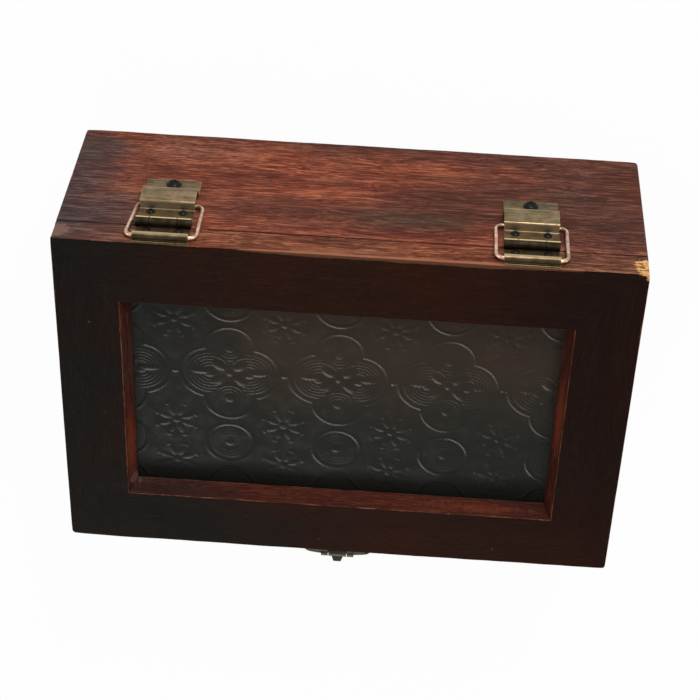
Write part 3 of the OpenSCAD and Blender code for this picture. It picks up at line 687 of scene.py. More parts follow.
@dataclass(frozen=True)
class Bronze:
    """Brushed antique bronze, bright on its rubbed edges; on the hinge leaves also painted shade in the
    hollows and on the upper sides of the knuckle and barrel, and painted highlights just below them.
    """

    name: str
    body: Colour = (0.190, 0.140, 0.072)
    bright: Colour = (0.74, 0.58, 0.28)
    roughness: float = 0.34
    brush: tuple[float, float, float] = (40.0, 2600.0, 2600.0)
    # Dark tone laid as painted shade in the hollows and on the upper sides of the knuckle and barrel,
    # and on the darker foot and the rings round the screws.
    grime_and_shade: Colour = (0.0170, 0.0125, 0.0080)
    # Lighter tone laid as painted light on the riser face of the bridge, which lies in shade.
    riser_light_tone: Colour = (0.37, 0.30, 0.21)
    # Strength of the painted shade and highlights; 0 for the ring and the clasp.
    recess: float = 1.0

    def from_point(self, g: Graph, place: Vector) -> Socket:
        """Distance of the shaded point from a place, in metres."""
        made = g.nodes.new("ShaderNodeVectorMath")
        made.operation = "DISTANCE"
        g.put(made.inputs[0], g.object_coordinates())
        g.put(made.inputs[1], tuple(place))
        return made.outputs["Value"]

    def material(self) -> bpy.types.Material:
        """Builds the material.

        Returns:
            The material, which reads the attribute "edge" for its bright edges.
        """
        g = Graph(self.name)
        edge = g.attribute("edge").outputs["Fac"]
        lines = g.noise(g.place(self.brush), detail=3.0, roughness=0.6)
        patina = g.mottle(240.0, 4.0, 0.6)
        tone = g.add(g.mul(lines, 0.6), g.mul(patina, 0.4))
        body = g.times(self.body, g.ramp(g.fade(tone, 0.34, 0.66), (
            (0.0, (0.52, 0.50, 0.52)), (0.5, (1.0, 1.0, 1.0)), (1.0, (1.65, 1.65, 1.55)))))
        ruddy = g.times(body, (1.32, 1.10, 1.42))
        body = g.lay(body, ruddy, g.fade(g.mottle(90.0), 0.48, 0.62), 0.45)
        y, z = g.axes(g.object_coordinates())[1:]
        # Painted shade on the hinge leaves: the flat leaf between bridge and barrel, and the upper side
        # of the knuckle.
        recess_painted_shade = g.mul(g.fade(y, HALF_D + 1.4 * MM, HALF_D + 1.0 * MM),
                     g.mul(g.fade(z, SEAM_Z - 13 * MM, SEAM_Z - 11 * MM),
                           g.fade(z, SEAM_Z + 9.2 * MM, SEAM_Z + 8.0 * MM)))
        above = g.fade(z, PIN_Z + 0.05 * MM, PIN_Z + 0.45 * MM)
        from_pin = g.math("SQRT", g.add(g.math("POWER", g.sub(y, PIN_Y), 2.0),
                                        g.math("POWER", g.sub(z, PIN_Z), 2.0)))
        knuckle_painted_shade = g.mul(above, g.fade(from_pin, 3.2 * MM, 2.8 * MM))
        rubbed = g.mul(edge, g.fade(patina, 0.30, 0.50, 0.35, 1.0))
        rubbed = g.mul(rubbed, g.fade(from_pin, 3.2 * MM, 3.6 * MM, 1.0 - self.recess, 1.0))
        shade_and_grime_mask = g.most(g.mul(recess_painted_shade, g.fade(above, 0.0, 1.0, 0.45, 0.76)), knuckle_painted_shade)
        # Painted highlights: a line along the lower side of the knuckle and one on the barrel just below
        # its middle.
        knuckle_painted_highlight = g.mul(g.fade(y, PIN_Y + 0.9 * MM, PIN_Y + 1.5 * MM),
                      g.mul(g.fade(z, PIN_Z + 0.45 * MM, PIN_Z + 0.05 * MM),
                            g.fade(z, PIN_Z - 2.3 * MM, PIN_Z - 1.8 * MM)))
        barrel_painted_highlight = g.mul(g.fade(y, PIN_Y + 0.4 * MM, PIN_Y + 0.8 * MM),
                      g.band(z, BARREL_Z - 0.5 * MM, 1.2 * MM, 0.7 * MM, 0.42))
        # The bright mask of rubbed edges also carries these painted highlights.
        rubbed = g.most(rubbed, g.mul(g.most(knuckle_painted_highlight, barrel_painted_highlight), self.recess))
        # Painted shade on the upper side of the barrel; the foot is darker below its bend.
        barrel_painted_shade = g.fade(z, BARREL_Z + 0.85 * MM, BARREL_Z + 1.35 * MM, 0.0, 0.88)
        foot = g.fade(z, BRIDGE_LOW, BRIDGE_LOW - 0.4 * MM, 0.0, 0.40)
        shade_and_grime_mask = g.most(shade_and_grime_mask, g.most(barrel_painted_shade, foot))
        # Painted highlight along the bend above the foot.
        bend_painted_highlight = g.band(z, BRIDGE_LOW + 0.1 * MM, 0.50 * MM, 0.15 * MM)
        rubbed = g.most(rubbed, g.mul(bend_painted_highlight, 0.28 * self.recess))
        # Painted light on the riser face of the bridge, which lies in shade.
        riser_painted_light = g.mul(g.band(y, HALF_D + 2.7 * MM, 1.8 * MM, 1.5 * MM),
                      g.band(z, BRIDGE_HIGH, 0.30 * MM, 0.20 * MM))
        body = g.lay(body, self.riser_light_tone, riser_painted_light, self.recess)
        # Darker rings round the screw heads.
        for place, radius in SCREW_PLACES:
            spot = g.fade(self.from_point(g, place), radius * 1.55, radius * 1.02)
            shade_and_grime_mask = g.most(shade_and_grime_mask, g.mul(spot, 0.85))
        shade_and_grime_mask = g.mul(shade_and_grime_mask, g.fade(patina, 0.30, 0.60, self.recess, 0.92 * self.recess))
        shine = g.mul(rubbed, g.sub(1.0, g.mul(shade_and_grime_mask, 0.7)))
        rough = g.add(g.fade(tone, 0.3, 0.7, self.roughness + 0.12, self.roughness),
                      g.sub(g.mul(shade_and_grime_mask, 0.24), g.mul(rubbed, 0.08)))
        g.set(Base_Color=g.blend(shine, g.blend(shade_and_grime_mask, body, self.grime_and_shade), self.bright),
              Metallic=1.0, Roughness=rough, Normal=g.bump(lines, 0.35, 0.00006))
        return g.material


@dataclass(frozen=True)
class PaintedSteel:
    """Steel, plain or blackened, with lighter edges: wear on the plain steel and the pins, painted
    glints on the blackened screws.
    """

    name: str
    body: Colour
    bright: Colour
    metallic: float
    roughness: float
    specular: float = 0.5

    def material(self) -> bpy.types.Material:
        """Builds the material.

        Returns:
            The material, which reads the attribute "edge".
        """
        g = Graph(self.name)
        edge = g.attribute("edge").outputs["Fac"]
        mottle = g.mottle(700.0, 3.0, 0.6)
        body = g.times(self.body, g.ramp(mottle, ((0.3, (0.6, 0.6, 0.6)), (0.7, (1.5, 1.5, 1.5)))))
        # Lighter edges: wear, and on the blackened screws painted glints.
        g.set(Base_Color=g.lay(body, self.bright, edge, g.fade(mottle, 0.42, 0.60)),
              Metallic=self.metallic, Specular_IOR_Level=self.specular,
              Roughness=g.fade(mottle, 0.3, 0.7, self.roughness, self.roughness + 0.18),
              Normal=g.bump(mottle, 0.2, 0.00008))
        return g.material


# ---- Meshes ----


def show(name: str, data: bpy.types.ID) -> bpy.types.Object:
    """Adds an object of a mesh, lamp or camera to the scene."""
    made = bpy.data.objects.new(name, data)
    bpy.context.scene.collection.objects.link(made)
    return made


def finish_piece(bm: bmesh.types.BMesh, name: str, body: str, node: str,
                 material: bpy.types.Material, smooth_angle: float = 40.0) -> bpy.types.Object:
    """Makes an object of a mesh that is in place, and ties it to the frame.

    Args:
        bm: The mesh, which is freed.
        name: Name of the piece.
        body: CAD body that it rides on.
        node: CAD node that it replaces.
        material: Its material.
        smooth_angle: Edges above this angle stay sharp, in degrees.

    Returns:
        The object.
    """
    mesh = bpy.data.meshes.new(name)
    bm.to_mesh(mesh)
    bm.free()
    mesh.shade_smooth()
    mesh.set_sharp_from_angle(angle=math.radians(smooth_angle))
    mesh.materials.append(material)
    piece = show(name, mesh)
    even = piece.modifiers.new("even_shading", "WEIGHTED_NORMAL")
    even.keep_sharp = True
    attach(piece, body)
    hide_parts(node)
    LOG.info("%s: %d faces on %s", name, len(mesh.polygons), body)
    return piece


def sharp_edges(bm: bmesh.types.BMesh, degrees: float = 30.0) -> list[bmesh.types.BMEdge]:
    """Edges whose two faces meet at more than an angle.

    Args:
        bm: The mesh.
        degrees: The angle.

    Returns:
        The edges.
    """
    limit = math.radians(degrees)
    return [e for e in bm.edges if len(e.link_faces) == 2 and e.calc_face_angle() > limit]


def soften(bm: bmesh.types.BMesh, edges: Sequence[bmesh.types.BMEdge], width: float,
           segments: int) -> list[bmesh.types.BMFace]:
    """Bevels edges.

    Args:
        bm: The mesh.
        edges: Edges to bevel.
        width: Width of the bevel.
        segments: Steps of the bevel.

    Returns:
        The new faces.
    """
    made = bmesh.ops.bevel(bm, geom=list(edges), offset=width, offset_type="OFFSET", segments=segments,
                           affect="EDGES", profile=0.5, material=-1, clamp_overlap=True)
    return made["faces"]


def new_verts(run: dict[str, Any]) -> list[bmesh.types.BMVert]:
    """Corners that an extrusion made."""
    return [v for v in run["geom"] if isinstance(v, bmesh.types.BMVert)]


def turn(bm: bmesh.types.BMesh, angle: float) -> None:
    """Turns a mesh round Z, by an angle in radians."""
    bmesh.ops.rotate(bm, verts=bm.verts[:], cent=(0, 0, 0), matrix=Matrix.Rotation(angle, 3, "Z"))


def slice_across(bm: bmesh.types.BMesh, axis: int, places: Sequence[float]) -> None:
    """Cuts new edges round a mesh at planes square to an axis, and takes nothing away.

    Args:
        bm: The mesh.
        axis: 0, 1 or 2 for X, Y or Z.
        places: Places of the planes on the axis.
    """
    normal = Vector([float(axis == k) for k in range(3)])
    for place in places:
        bmesh.ops.bisect_plane(bm, geom=bm.verts[:] + bm.edges[:] + bm.faces[:], dist=CUT_REACH,
                               plane_co=normal * place, plane_no=normal)


def trim(bm: bmesh.types.BMesh, point: Sequence[float], normal: Sequence[float]) -> None:
    """Cuts away what lies beyond a plane and closes the cut.

    Args:
        bm: The mesh.
        point: A point of the plane.
        normal: Direction of the part that goes.
    """
    cut = bmesh.ops.bisect_plane(bm, geom=bm.verts[:] + bm.edges[:] + bm.faces[:], dist=CUT_REACH,
                                 plane_co=point, plane_no=normal, clear_outer=True)
    edges = [e for e in cut["geom_cut"] if isinstance(e, bmesh.types.BMEdge)]
    bmesh.ops.contextual_create(bm, geom=edges)


def bar(section: Sequence[Point2], low: float, high: float) -> bmesh.types.BMesh:
    """A closed section, drawn in Y and Z, run along X.

    Args:
        section: Corners of the section.
        low: Start on X.
        high: End on X.

    Returns:
        The mesh.
    """
    bm = bmesh.new()
    face = bm.faces.new([bm.verts.new((low, y, z)) for y, z in section])
    run = bmesh.ops.extrude_face_region(bm, geom=[face])
    bmesh.ops.translate(bm, verts=new_verts(run), vec=(high - low, 0, 0))
    bmesh.ops.recalc_face_normals(bm, faces=bm.faces[:])
    return bm


def steps(low: float, high: float, pitch: float) -> list[float]:
    """Evenly spaced places between two ends.

    Args:
        low: First end.
        high: Second end.
        pitch: Distance between places.

    Returns:
        The places, without the ends.
    """
    count = max(1, round((high - low) / pitch))
    return [low + (high - low) * i / count for i in range(1, count)]


@dataclass
class Joinery:
    """Shared work on the wooden pieces."""

    rounding: float = 0.62 * MM
    corner_rounding: float = 0.6 * MM
    corner_reach: float = 7.0 * MM
    seam_squeeze: float = 2.4
    edge_steps: tuple[float, ...] = (0.18, 0.4, 0.7, 1.1, 1.6, 2.3, 3.4)

    def worn_place(self, place: Vector, z_low: float, z_high: float) -> Vector:
        """Where a point of the sharp-edged box lies once its edges and corners are worn round.

        Args:
            place: Point of the mesh.
            z_low: Lower rim of the box or lid.
            z_high: Upper rim.

        Returns:
            The new place, which depends only on the old one, so that joints stay closed.
        """
        from_low = (place.z - z_low) * (self.seam_squeeze if z_low == SEAM_Z else 1.0)
        from_high = (z_high - place.z) * (self.seam_squeeze if z_high == SEAM_Z else 1.0)
        at_low = from_low < from_high
        gaps = Vector((HALF_W - abs(place.x), HALF_D - abs(place.y), from_low if at_low else from_high))
        seam = SEAM_Z == (z_low if at_low else z_high)
        farthest = max(gaps[0], gaps[1], 0.0 if seam else gaps[2])
        corner = max(0.0, 1 - farthest / self.corner_reach)
        radius = self.rounding * (1 + 0.75 * max(-0.6, noise.noise(place * 42))
                                  + 0.3 * noise.noise(place * 230))
        radius += self.corner_rounding * corner * corner
        for chip in (RAW_CHIP, RUBBED_CHIP):
            radius += 3.0 * chip.depth_at(place)
        depth = Vector([max(0.0, radius - gap) for gap in gaps])
        if depth.length <= radius:
            return place
        gaps = Vector([gap if d == 0 else radius - d * radius / depth.length
                       for gap, d in zip(gaps, depth)])
        lift = gaps[2] / (self.seam_squeeze if seam else 1.0)
        return Vector((math.copysign(HALF_W - gaps[0], place.x),
                       math.copysign(HALF_D - gaps[1], place.y),
                       z_low + lift if at_low else z_high - lift))

    def weather(self, bm: bmesh.types.BMesh, z_low: float, z_high: float) -> None:
        """Cuts stations near the outer edges and wears the edges round.

        Args:
            bm: The mesh, in place.
            z_low: Lower rim of the box or lid.
            z_high: Upper rim.
        """
        for step in self.edge_steps:
            inset = step * MM
            slice_across(bm, 0, (inset - HALF_W, HALF_W - inset))
            slice_across(bm, 1, (inset - HALF_D, HALF_D - inset))
            slice_across(bm, 2, (z_low + inset, z_high - inset))
        for vert in bm.verts:
            vert.co = self.worn_place(vert.co, z_low, z_high)

    def tone(self, bm: bmesh.types.BMesh, choose: Callable[[bmesh.types.BMFace], FaceTone]) -> None:
        """Writes the tone of each face, its stain with painted light, into the attribute "stain".

        Args:
            bm: The mesh, in place.
            choose: Gives the tone of a face, stain with painted light.
        """
        layer = bm.loops.layers.float_color.new("stain")
        for face in bm.faces:
            colour = (*choose(face).colour, 1.0)
            for loop in face.loops:
                loop[layer] = colour


class LowerBox(Joinery):
    """Four walls, a base panel and its brads."""

    def choose_wall(self, face: bmesh.types.BMFace) -> FaceTone:
        """Tone of a face of the walls: stain with painted light, lighter on the back face.

        Args:
            face: The face.

        Returns:
            Its tone.
        """
        centre = face.calc_center_median()
        if centre.y > HALF_D - ON_SIDE:
            return PAINTED_LIT_BACK
        if abs(centre.x) > HALF_W - ON_SIDE or centre.y < ON_SIDE - HALF_D:
            return SIDE_RED
        return INSIDE

    def long_wall(self, side: int) -> bmesh.types.BMesh:
        """Wall across the whole width with thin laps over the ends of the side walls.

        Args:
            side: 1 for the back, -1 for the front.

        Returns:
            The mesh.
        """
        recess = -BASE_LOW.y + PANEL_PLAY
        section = [(HALF_D, 0.0), (HALF_D, SEAM_Z), (LAP_Y, SEAM_Z), (HALF_D - WALL_T, SEAM_Z),
                   (HALF_D - WALL_T, BASE_T), (recess, BASE_T), (recess, 0.0)]
        bm = bar(section, -INNER_HALF_W, INNER_HALF_W)
        for end in (-1, 1):
            self.lap(bm, end)
        if side < 0:
            turn(bm, math.pi)
        return bm

    def lap(self, bm: bmesh.types.BMesh, end: int) -> None:
        """Splits an end face at the lap and draws its outer part out to the end of the box.

        Args:
            bm: Mesh of the wall.
            end: 1 for the right end, -1 for the left.
        """
        face = next(f for f in bm.faces
                    if abs(f.normal.x) > SQUARE_ON and f.calc_center_median().x * end > 0)
        seam = [v for v in face.verts if abs(v.co.y - LAP_Y) < TOUCH and v.co.z > BASE_T - TOUCH]
        bmesh.ops.connect_vert_pair(bm, verts=seam)
        halves = [f for f in seam[0].link_faces if abs(f.normal.x) > SQUARE_ON]
        outer = max(halves, key=lambda f: f.calc_center_median().y)
        run = bmesh.ops.extrude_face_region(bm, geom=[outer])
        bmesh.ops.translate(bm, verts=new_verts(run), vec=(end * (HALF_W - INNER_HALF_W), 0, 0))
        bmesh.ops.delete(bm, geom=[outer], context="FACES_ONLY")
        bmesh.ops.recalc_face_normals(bm, faces=bm.faces[:])

    def end_wall(self, side: int) -> bmesh.types.BMesh:
        """Side wall between the laps of the long walls.

        Args:
            side: 1 for the right, -1 for the left.

        Returns:
            The mesh.
        """
        recess = -BASE_LOW.x + PANEL_PLAY
        section = [(HALF_W, 0.0), (HALF_W, SEAM_Z), (INNER_HALF_W, SEAM_Z), (INNER_HALF_W, BASE_T),
                   (recess, BASE_T), (recess, 0.0)]
        bm = bar(section, -LAP_Y, LAP_Y)
        turn(bm, -side * math.pi / 2)
        return bm

    def build(self, woods: dict[Axis, bpy.types.Material], base: bpy.types.Material,
              steel: bpy.types.Material) -> None:
        """Builds the lower box.

        Args:
            woods: Stained wood for each direction of the grain.
            base: Material of the base panel.
            steel: Material of the brads.
        """
        walls = (("back_wall", 1, 0, self.long_wall), ("front_wall", -1, 0, self.long_wall),
                 ("left_wall", -1, 1, self.end_wall), ("right_wall", 1, 1, self.end_wall))
        for name, side, axis, maker in walls:
            bm = maker(side)
            slice_across(bm, axis, steps(-HALF_W, HALF_W, STATION_PITCH))
            self.weather(bm, 0.0, SEAM_Z)
            self.tone(bm, self.choose_wall)
            wood = woods[Axis.Y if axis else Axis.X]
            finish_piece(bm, name + "_board", "case", name, wood)
        bm = cad_copy("base_panel")
        soften(bm, sharp_edges(bm), 0.15 * MM, 1)
        self.tone(bm, lambda face: INSIDE)
        finish_piece(bm, "base_board", "case", "base_panel", base)
        bm = burnished("base_brads", 0.08 * MM)
        finish_piece(bm, "base_brad_heads", "case", "base_brads", steel)


class LidFrame(Joinery):
    """Mitred frame of the lid with its beads and pins."""

    def choose_lid(self, face: bmesh.types.BMFace) -> FaceTone:
        """Tone of a face of the lid frame: stain with painted light, far darker on the top and lighter
        on the back face.

        Args:
            face: The face.

        Returns:
            Its tone.
        """
        centre, normal = face.calc_center_median(), face.normal
        inside = min(HALF_W - abs(centre.x), HALF_D - abs(centre.y)) > 15 * MM
        if centre.z > TOP_Z - ON_TOP and normal.z > SQUARE_ON:
            return PAINTED_SHADE_LID_TOP
        if centre.z > TOP_Z - ON_TOP and inside:
            return ARRIS
        if HALF_D - centre.y < ON_SIDE:
            return LID_EDGE
        if HALF_W - abs(centre.x) < ON_SIDE or centre.y + HALF_D < ON_SIDE:
            return SIDE_RED
        if normal.z > 0.05 and centre.z > GLASS_TOP:
            return SPLAY
        return INSIDE

    def rail(self, side: int) -> bmesh.types.BMesh:
        """One mitred member, in place.

        Args:
            side: 0 front, 1 right, 2 back, 3 left.

        Returns:
            The mesh.
        """
        share = BACK_SHARE if side == 2 else 1.0
        across = side % 2 == 0
        length = HALF_W if across else HALF_D
        reach = HALF_D if across else HALF_W
        sight = (HALF_D + SIGHT_FRONT_Y) * share
        rebate = (HALF_W + REBATE_X) * share
        top = sight - SPLAY_RUN * share
        section = [(0.0, SEAM_Z), (rebate, SEAM_Z), (rebate, GLASS_TOP), (sight, GLASS_TOP),
                   (sight, GLASS_TOP + SPLAY_ARRIS), (top, TOP_Z), (0.0, TOP_Z)]
        bm = bar([(u - reach, z) for u, z in section], -length, length)
        plain = HALF_D + SIGHT_FRONT_Y
        left = plain * (BACK_SHARE if side == 3 else 1.0)
        right = plain * (BACK_SHARE if side == 1 else 1.0)
        trim(bm, (-length, -reach, 0), (-sight, left, 0))
        trim(bm, (length, -reach, 0), (sight, right, 0))
        bmesh.ops.recalc_face_normals(bm, faces=bm.faces[:])
        turn(bm, side * math.pi / 2)
        return bm

    def soften_sight(self, bm: bmesh.types.BMesh) -> None:
        """Eases the edges of the splay round the glass.

        Args:
            bm: Mesh of the member, in place.
        """
        def in_window(vert: bmesh.types.BMVert) -> bool:
            """Whether a corner lies on the splay."""
            return (vert.co.z > GLASS_TOP - 0.1 * MM and abs(vert.co.x) < SIGHT_X + SPLAY_RUN + 1 * MM
                    and SIGHT_FRONT_Y - 5 * MM < vert.co.y < SIGHT_BACK_Y + 5 * MM)
        soften(bm, [e for e in sharp_edges(bm, 18) if all(in_window(v) for v in e.verts)], EASE, 2)

    def build(self, woods: dict[Axis, bpy.types.Material], steel: bpy.types.Material) -> None:
        """Builds the frame, the beads and their pins.

        Args:
            woods: Stained wood for each direction of the grain.
            steel: Material of the pins.
        """
        names = ("lid_front_rail", "lid_right_stile", "lid_back_rail", "lid_left_stile")
        for side, name in enumerate(names):
            bm = self.rail(side)
            self.soften_sight(bm)
            axis = side % 2
            slice_across(bm, axis, steps(-HALF_W, HALF_W, STATION_PITCH))
            self.weather(bm, SEAM_Z, TOP_Z)
            self.tone(bm, self.choose_lid)
            finish_piece(bm, name + "_board", "lid", name, woods[Axis.Y if axis else Axis.X])
        for name in ("front_bead", "right_bead", "back_bead", "left_bead"):
            bm = cad_copy(name)
            soften(bm, sharp_edges(bm), 0.12 * MM, 1)
            self.tone(bm, lambda face: INSIDE)
            along = Axis.X if name in ("front_bead", "back_bead") else Axis.Y
            finish_piece(bm, name + "_strip", "lid", name, woods[along])
        bm = burnished("bead_pins", 0.05 * MM)
        finish_piece(bm, "bead_pin_heads", "lid", "bead_pins", steel)


@dataclass
class PatternPane:
    """Rolled glass with quatrefoils, roundels and daisies in relief."""

    pitch: float = 46.5
    row: float = 38.2
    first_x: float = -2.4
    first_y: float = 11.0
    ridge: float = 0.90
    rise: float = 0.33
    rib_pitch: float = 1.55
    rib_rise: float = 0.18
    cell: float = 0.45

    def bumps(self, height: np.ndarray, x: np.ndarray, y: np.ndarray, centres: Sequence[Point2],
              half_l: float, half_w: float, way: float, rise: float) -> None:
        """Adds raised ovals.

        Args:
            height: Relief that they are added to, in millimetres.
            x: Places across, in millimetres.
            y: Places along, in millimetres.
            centres: Centres of the ovals.
            half_l: Half length of an oval.
            half_w: Half width of an oval.
            way: Angle of its length from X, in degrees.
            rise: Height of the relief.
        """
        c, s = math.cos(math.radians(way)), math.sin(math.radians(way))
        for cx, cy in centres:
            u = ((x - cx) * c + (y - cy) * s) / half_l
            v = ((y - cy) * c - (x - cx) * s) / half_w
            out = np.sqrt(u * u + v * v)
            np.maximum(height, rise * np.sqrt(np.clip(1 - out * out, 0, 1)), out=height)

    def outlined(self, height: np.ndarray, inside: np.ndarray, first_rib: float,
                 ribbed: np.ndarray) -> None:
        """Adds the ridge of an outline and the ribs that follow it.

        Args:
            height: Relief that they are added to, in millimetres.
            inside: Distance inwards from the outline.
            first_rib: Distance where the ribs start.
            ribbed: Strength of the ribs, from 0 to 1.
        """
        near = np.clip(1 - np.abs(inside) / self.ridge, 0, 1)
        np.maximum(height, self.rise * near * near * (3 - 2 * near), out=height)
        wave = 0.5 + 0.5 * np.cos(2 * math.pi * (inside - first_rib) / self.rib_pitch + math.pi)
        band = np.clip((inside - first_rib) / 0.6, 0, 1) * ribbed
        np.maximum(height, self.rib_rise * wave * band, out=height)

    def relief(self, x: np.ndarray, y: np.ndarray) -> np.ndarray:
        """Height of the pattern.

        Args:
            x: Places across, in millimetres.
            y: Places along, in millimetres.

        Returns:
            Height in millimetres above the ground of the glass.
        """
        height = np.zeros_like(x)
        u = (x - self.first_x + self.pitch / 2) % self.pitch - self.pitch / 2
        v = (y - self.first_y + self.row) % (2 * self.row) - self.row
        inside = np.maximum.reduce([
            12.9 - np.hypot(u - 8.3, v), 12.9 - np.hypot(u + 8.3, v),
            10.7 - np.hypot(u, v - 13.3), 10.7 - np.hypot(u, v + 13.3)])
        motif = np.hypot(u / 2.2, v)
        ribbed = np.clip(motif - 4.7, 0, 1) * np.clip((14.0 - np.abs(v)) / 5.0, 0, 1)
        self.outlined(height, inside, 1.9, ribbed)
        self.bumps(height, u, v, ((-11.8, 0.4), (11.8, 0.4)), 4.9, 1.5, 0, 0.34)
        self.bumps(height, u, v, ((-8.6, -1.2), (8.6, -1.2)), 2.2, 1.2, 0, 0.24)
        self.bumps(height, u, v, ((0, -13.2), (0, 13.2)), 2.2, 2.4, 0, 0.22)
        self.bumps(height, u, v, ((4.6, 3.9), (-4.6, -3.9)), 3.5, 2.0, 38, 0.34)
        self.bumps(height, u, v, ((-4.6, 3.9), (4.6, -3.9)), 3.5, 2.0, -38, 0.34)
        self.bumps(height, u, v, ((0, 0),), 1.5, 1.5, 0, 0.30)
        w = (y - self.first_y) % (2 * self.row) - self.row
        round_in = 10.4 - np.hypot(u, w)
        self.outlined(height, round_in, 1.9, np.clip(7.0 - round_in, 0, 1) * 0.35)
        self.bumps(height, u, w, ((0, 0),), 2.0, 1.6, 0, 0.18)
        h = (x - self.first_x) % self.pitch - self.pitch / 2
        self.bumps(height, h, v, ((0, 0),), 1.6, 1.1, 0, 0.26)
        for cy in (27.0, -27.0):
            self.bumps(height, h, v, ((0, cy),), 1.7, 1.7, 0, 0.20)
            for k in range(8):
                way = 22.5 + 45 * k
                c, s = math.cos(math.radians(way)), math.sin(math.radians(way))
                self.bumps(height, h, v, ((5.2 * c, cy + 5.2 * s),), 2.9, 1.35, way, 0.16)
                self.bumps(height, h, v, ((9.0 * c, cy + 9.0 * s),), 1.5, 1.0, way + 90, 0.12)
        return height

    def build(self, glass: bpy.types.Material) -> None:
        """Builds the pane: a fine grid over the window, drawn out to the rebates and down.

        Args:
            glass: Its material.
        """
        bm = bmesh.new()
        margin = 0.3 * MM
        low = Vector((-SIGHT_X + margin, SIGHT_FRONT_Y + margin, 0))
        high = Vector((SIGHT_X - margin, SIGHT_BACK_Y - margin, 0))
        columns = round((high.x - low.x) / (self.cell * MM))
        rows = round((high.y - low.y) / (self.cell * MM))
        bmesh.ops.create_grid(bm, x_segments=columns, y_segments=rows, size=0.5)
        bmesh.ops.scale(bm, verts=bm.verts[:], vec=(high.x - low.x, high.y - low.y, 1))
        bmesh.ops.translate(bm, verts=bm.verts[:], vec=(low + high) / 2)
        places = np.array([v.co for v in bm.verts])
        height = self.relief(places[:, 0] / MM, places[:, 1] / MM)
        rim = np.minimum.reduce([places[:, 0] - low.x, high.x - places[:, 0],
                                 places[:, 1] - low.y, high.y - places[:, 1]]) / MM
        height *= np.clip(rim / 0.8, 0, 1)
        ground = GLASS_TOP - 0.15 * MM
        for vert, rise in zip(bm.verts, height):
            ripple = 0.035 * noise.noise(vert.co * 160) if rise < 1e-6 else 0.0
            vert.co.z = ground + (rise + ripple) * MM
        run = bmesh.ops.extrude_edge_only(bm, edges=[e for e in bm.edges if e.is_boundary])
        stretch = Vector(((PANE_HIGH.x - 0.05 * MM) / high.x, 1, 1))
        for vert in new_verts(run):
            vert.co.x *= stretch.x
            share = (vert.co.y - low.y) / (high.y - low.y)
            vert.co.y = PANE_LOW.y + share * (PANE_HIGH.y - PANE_LOW.y)
            vert.co.z = ground
        down = bmesh.ops.extrude_edge_only(bm, edges=[e for e in bm.edges if e.is_boundary])
        for vert in new_verts(down):
            vert.co.z = PANE_LOW.z
        bmesh.ops.contextual_create(bm, geom=[e for e in bm.edges if e.is_boundary])
        bmesh.ops.recalc_face_normals(bm, faces=bm.faces[:])
        finish_piece(bm, "rolled_pane", "lid", "glass_pane", glass, 60.0)


# ---- Metalwork ----


def cad_copy(node: str) -> bmesh.types.BMesh:
    """Copy of a CAD node with its loose triangles merged into clean faces.

    Args:
        node: Name of the node.

    Returns:
        The mesh.
    """
    bm = bmesh.new()
    bm.from_mesh(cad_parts[node].data)
    bmesh.ops.remove_doubles(bm, verts=bm.verts[:], dist=TOUCH)
    bmesh.ops.dissolve_limit(bm, angle_limit=math.radians(0.6), verts=bm.verts[:], edges=bm.edges[:])
    return bm


def burnished(node: str, width: float, angle: float = 32.0, segments: int = 2) -> bmesh.types.BMesh:
    """Copy of a CAD node with its sharp edges rounded and marked as rubbed bright.

    Args:
        node: Name of the node.
        width: Width of the rounding.
        angle: Edges above this angle are rounded, in degrees.
        segments: Steps of the rounding.

    Returns:
        The mesh, with the attribute "edge".
    """
    bm = cad_copy(node)
    layer = bm.loops.layers.float.new("edge")
    for face in soften(bm, sharp_edges(bm, angle), width, segments):
        for loop in face.loops:
            loop[layer] = 1.0
    return bm


@dataclass
class StayHinge:
    """Stay hinge: two leaves, a pin, a wire ring and its screws."""

    side: str
    lean: float = 0.0

    def lean_ring(self, bm: bmesh.types.BMesh) -> None:
        """Bends the left side of the ring inwards towards its free end.

        Args:
            bm: Mesh of the ring, in place.
        """
        low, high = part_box(self.side + "_ring")
        middle = (low.x + high.x) / 2
        for vert in bm.verts:
            along = (high.z - vert.co.z) / (high.z - low.z)
            aside = max(0.0, (middle - vert.co.x) / (high.x - middle))
            vert.co.x += self.lean * along * aside

    def build(self, bronze: bpy.types.Material, wire: bpy.types.Material, steel: bpy.types.Material,
              black: bpy.types.Material) -> None:
        """Builds the hinge.

        Args:
            bronze: Material of the leaves.
            wire: Material of the ring.
            steel: Material of the pin.
            black: Material of the screws.
        """
        parts = (("body_leaf", "case", 0.20 * MM, "bronze", bronze),
                 ("lid_leaf", "lid", 0.20 * MM, "bronze", bronze),
                 ("ring", self.side + "_ring", 0.0, "bronze", wire),
                 ("hinge_pin", "case", 0.08 * MM, "steel", steel),
                 ("foot_screw", "case", 0.10 * MM, "blackened_steel", black),
                 ("body_leaf_screws", "case", 0.07 * MM, "blackened_steel", black),
                 ("lid_leaf_screws", "lid", 0.07 * MM, "blackened_steel", black))
        for part, body, width, slot, material in parts:
            node = f"{self.side}_{part}"
            bm = burnished(node, width) if width else cad_copy(node)
            if part == "ring":
                self.lean_ring(bm)
            finish_piece(bm, node + "_metal", body, node, material)


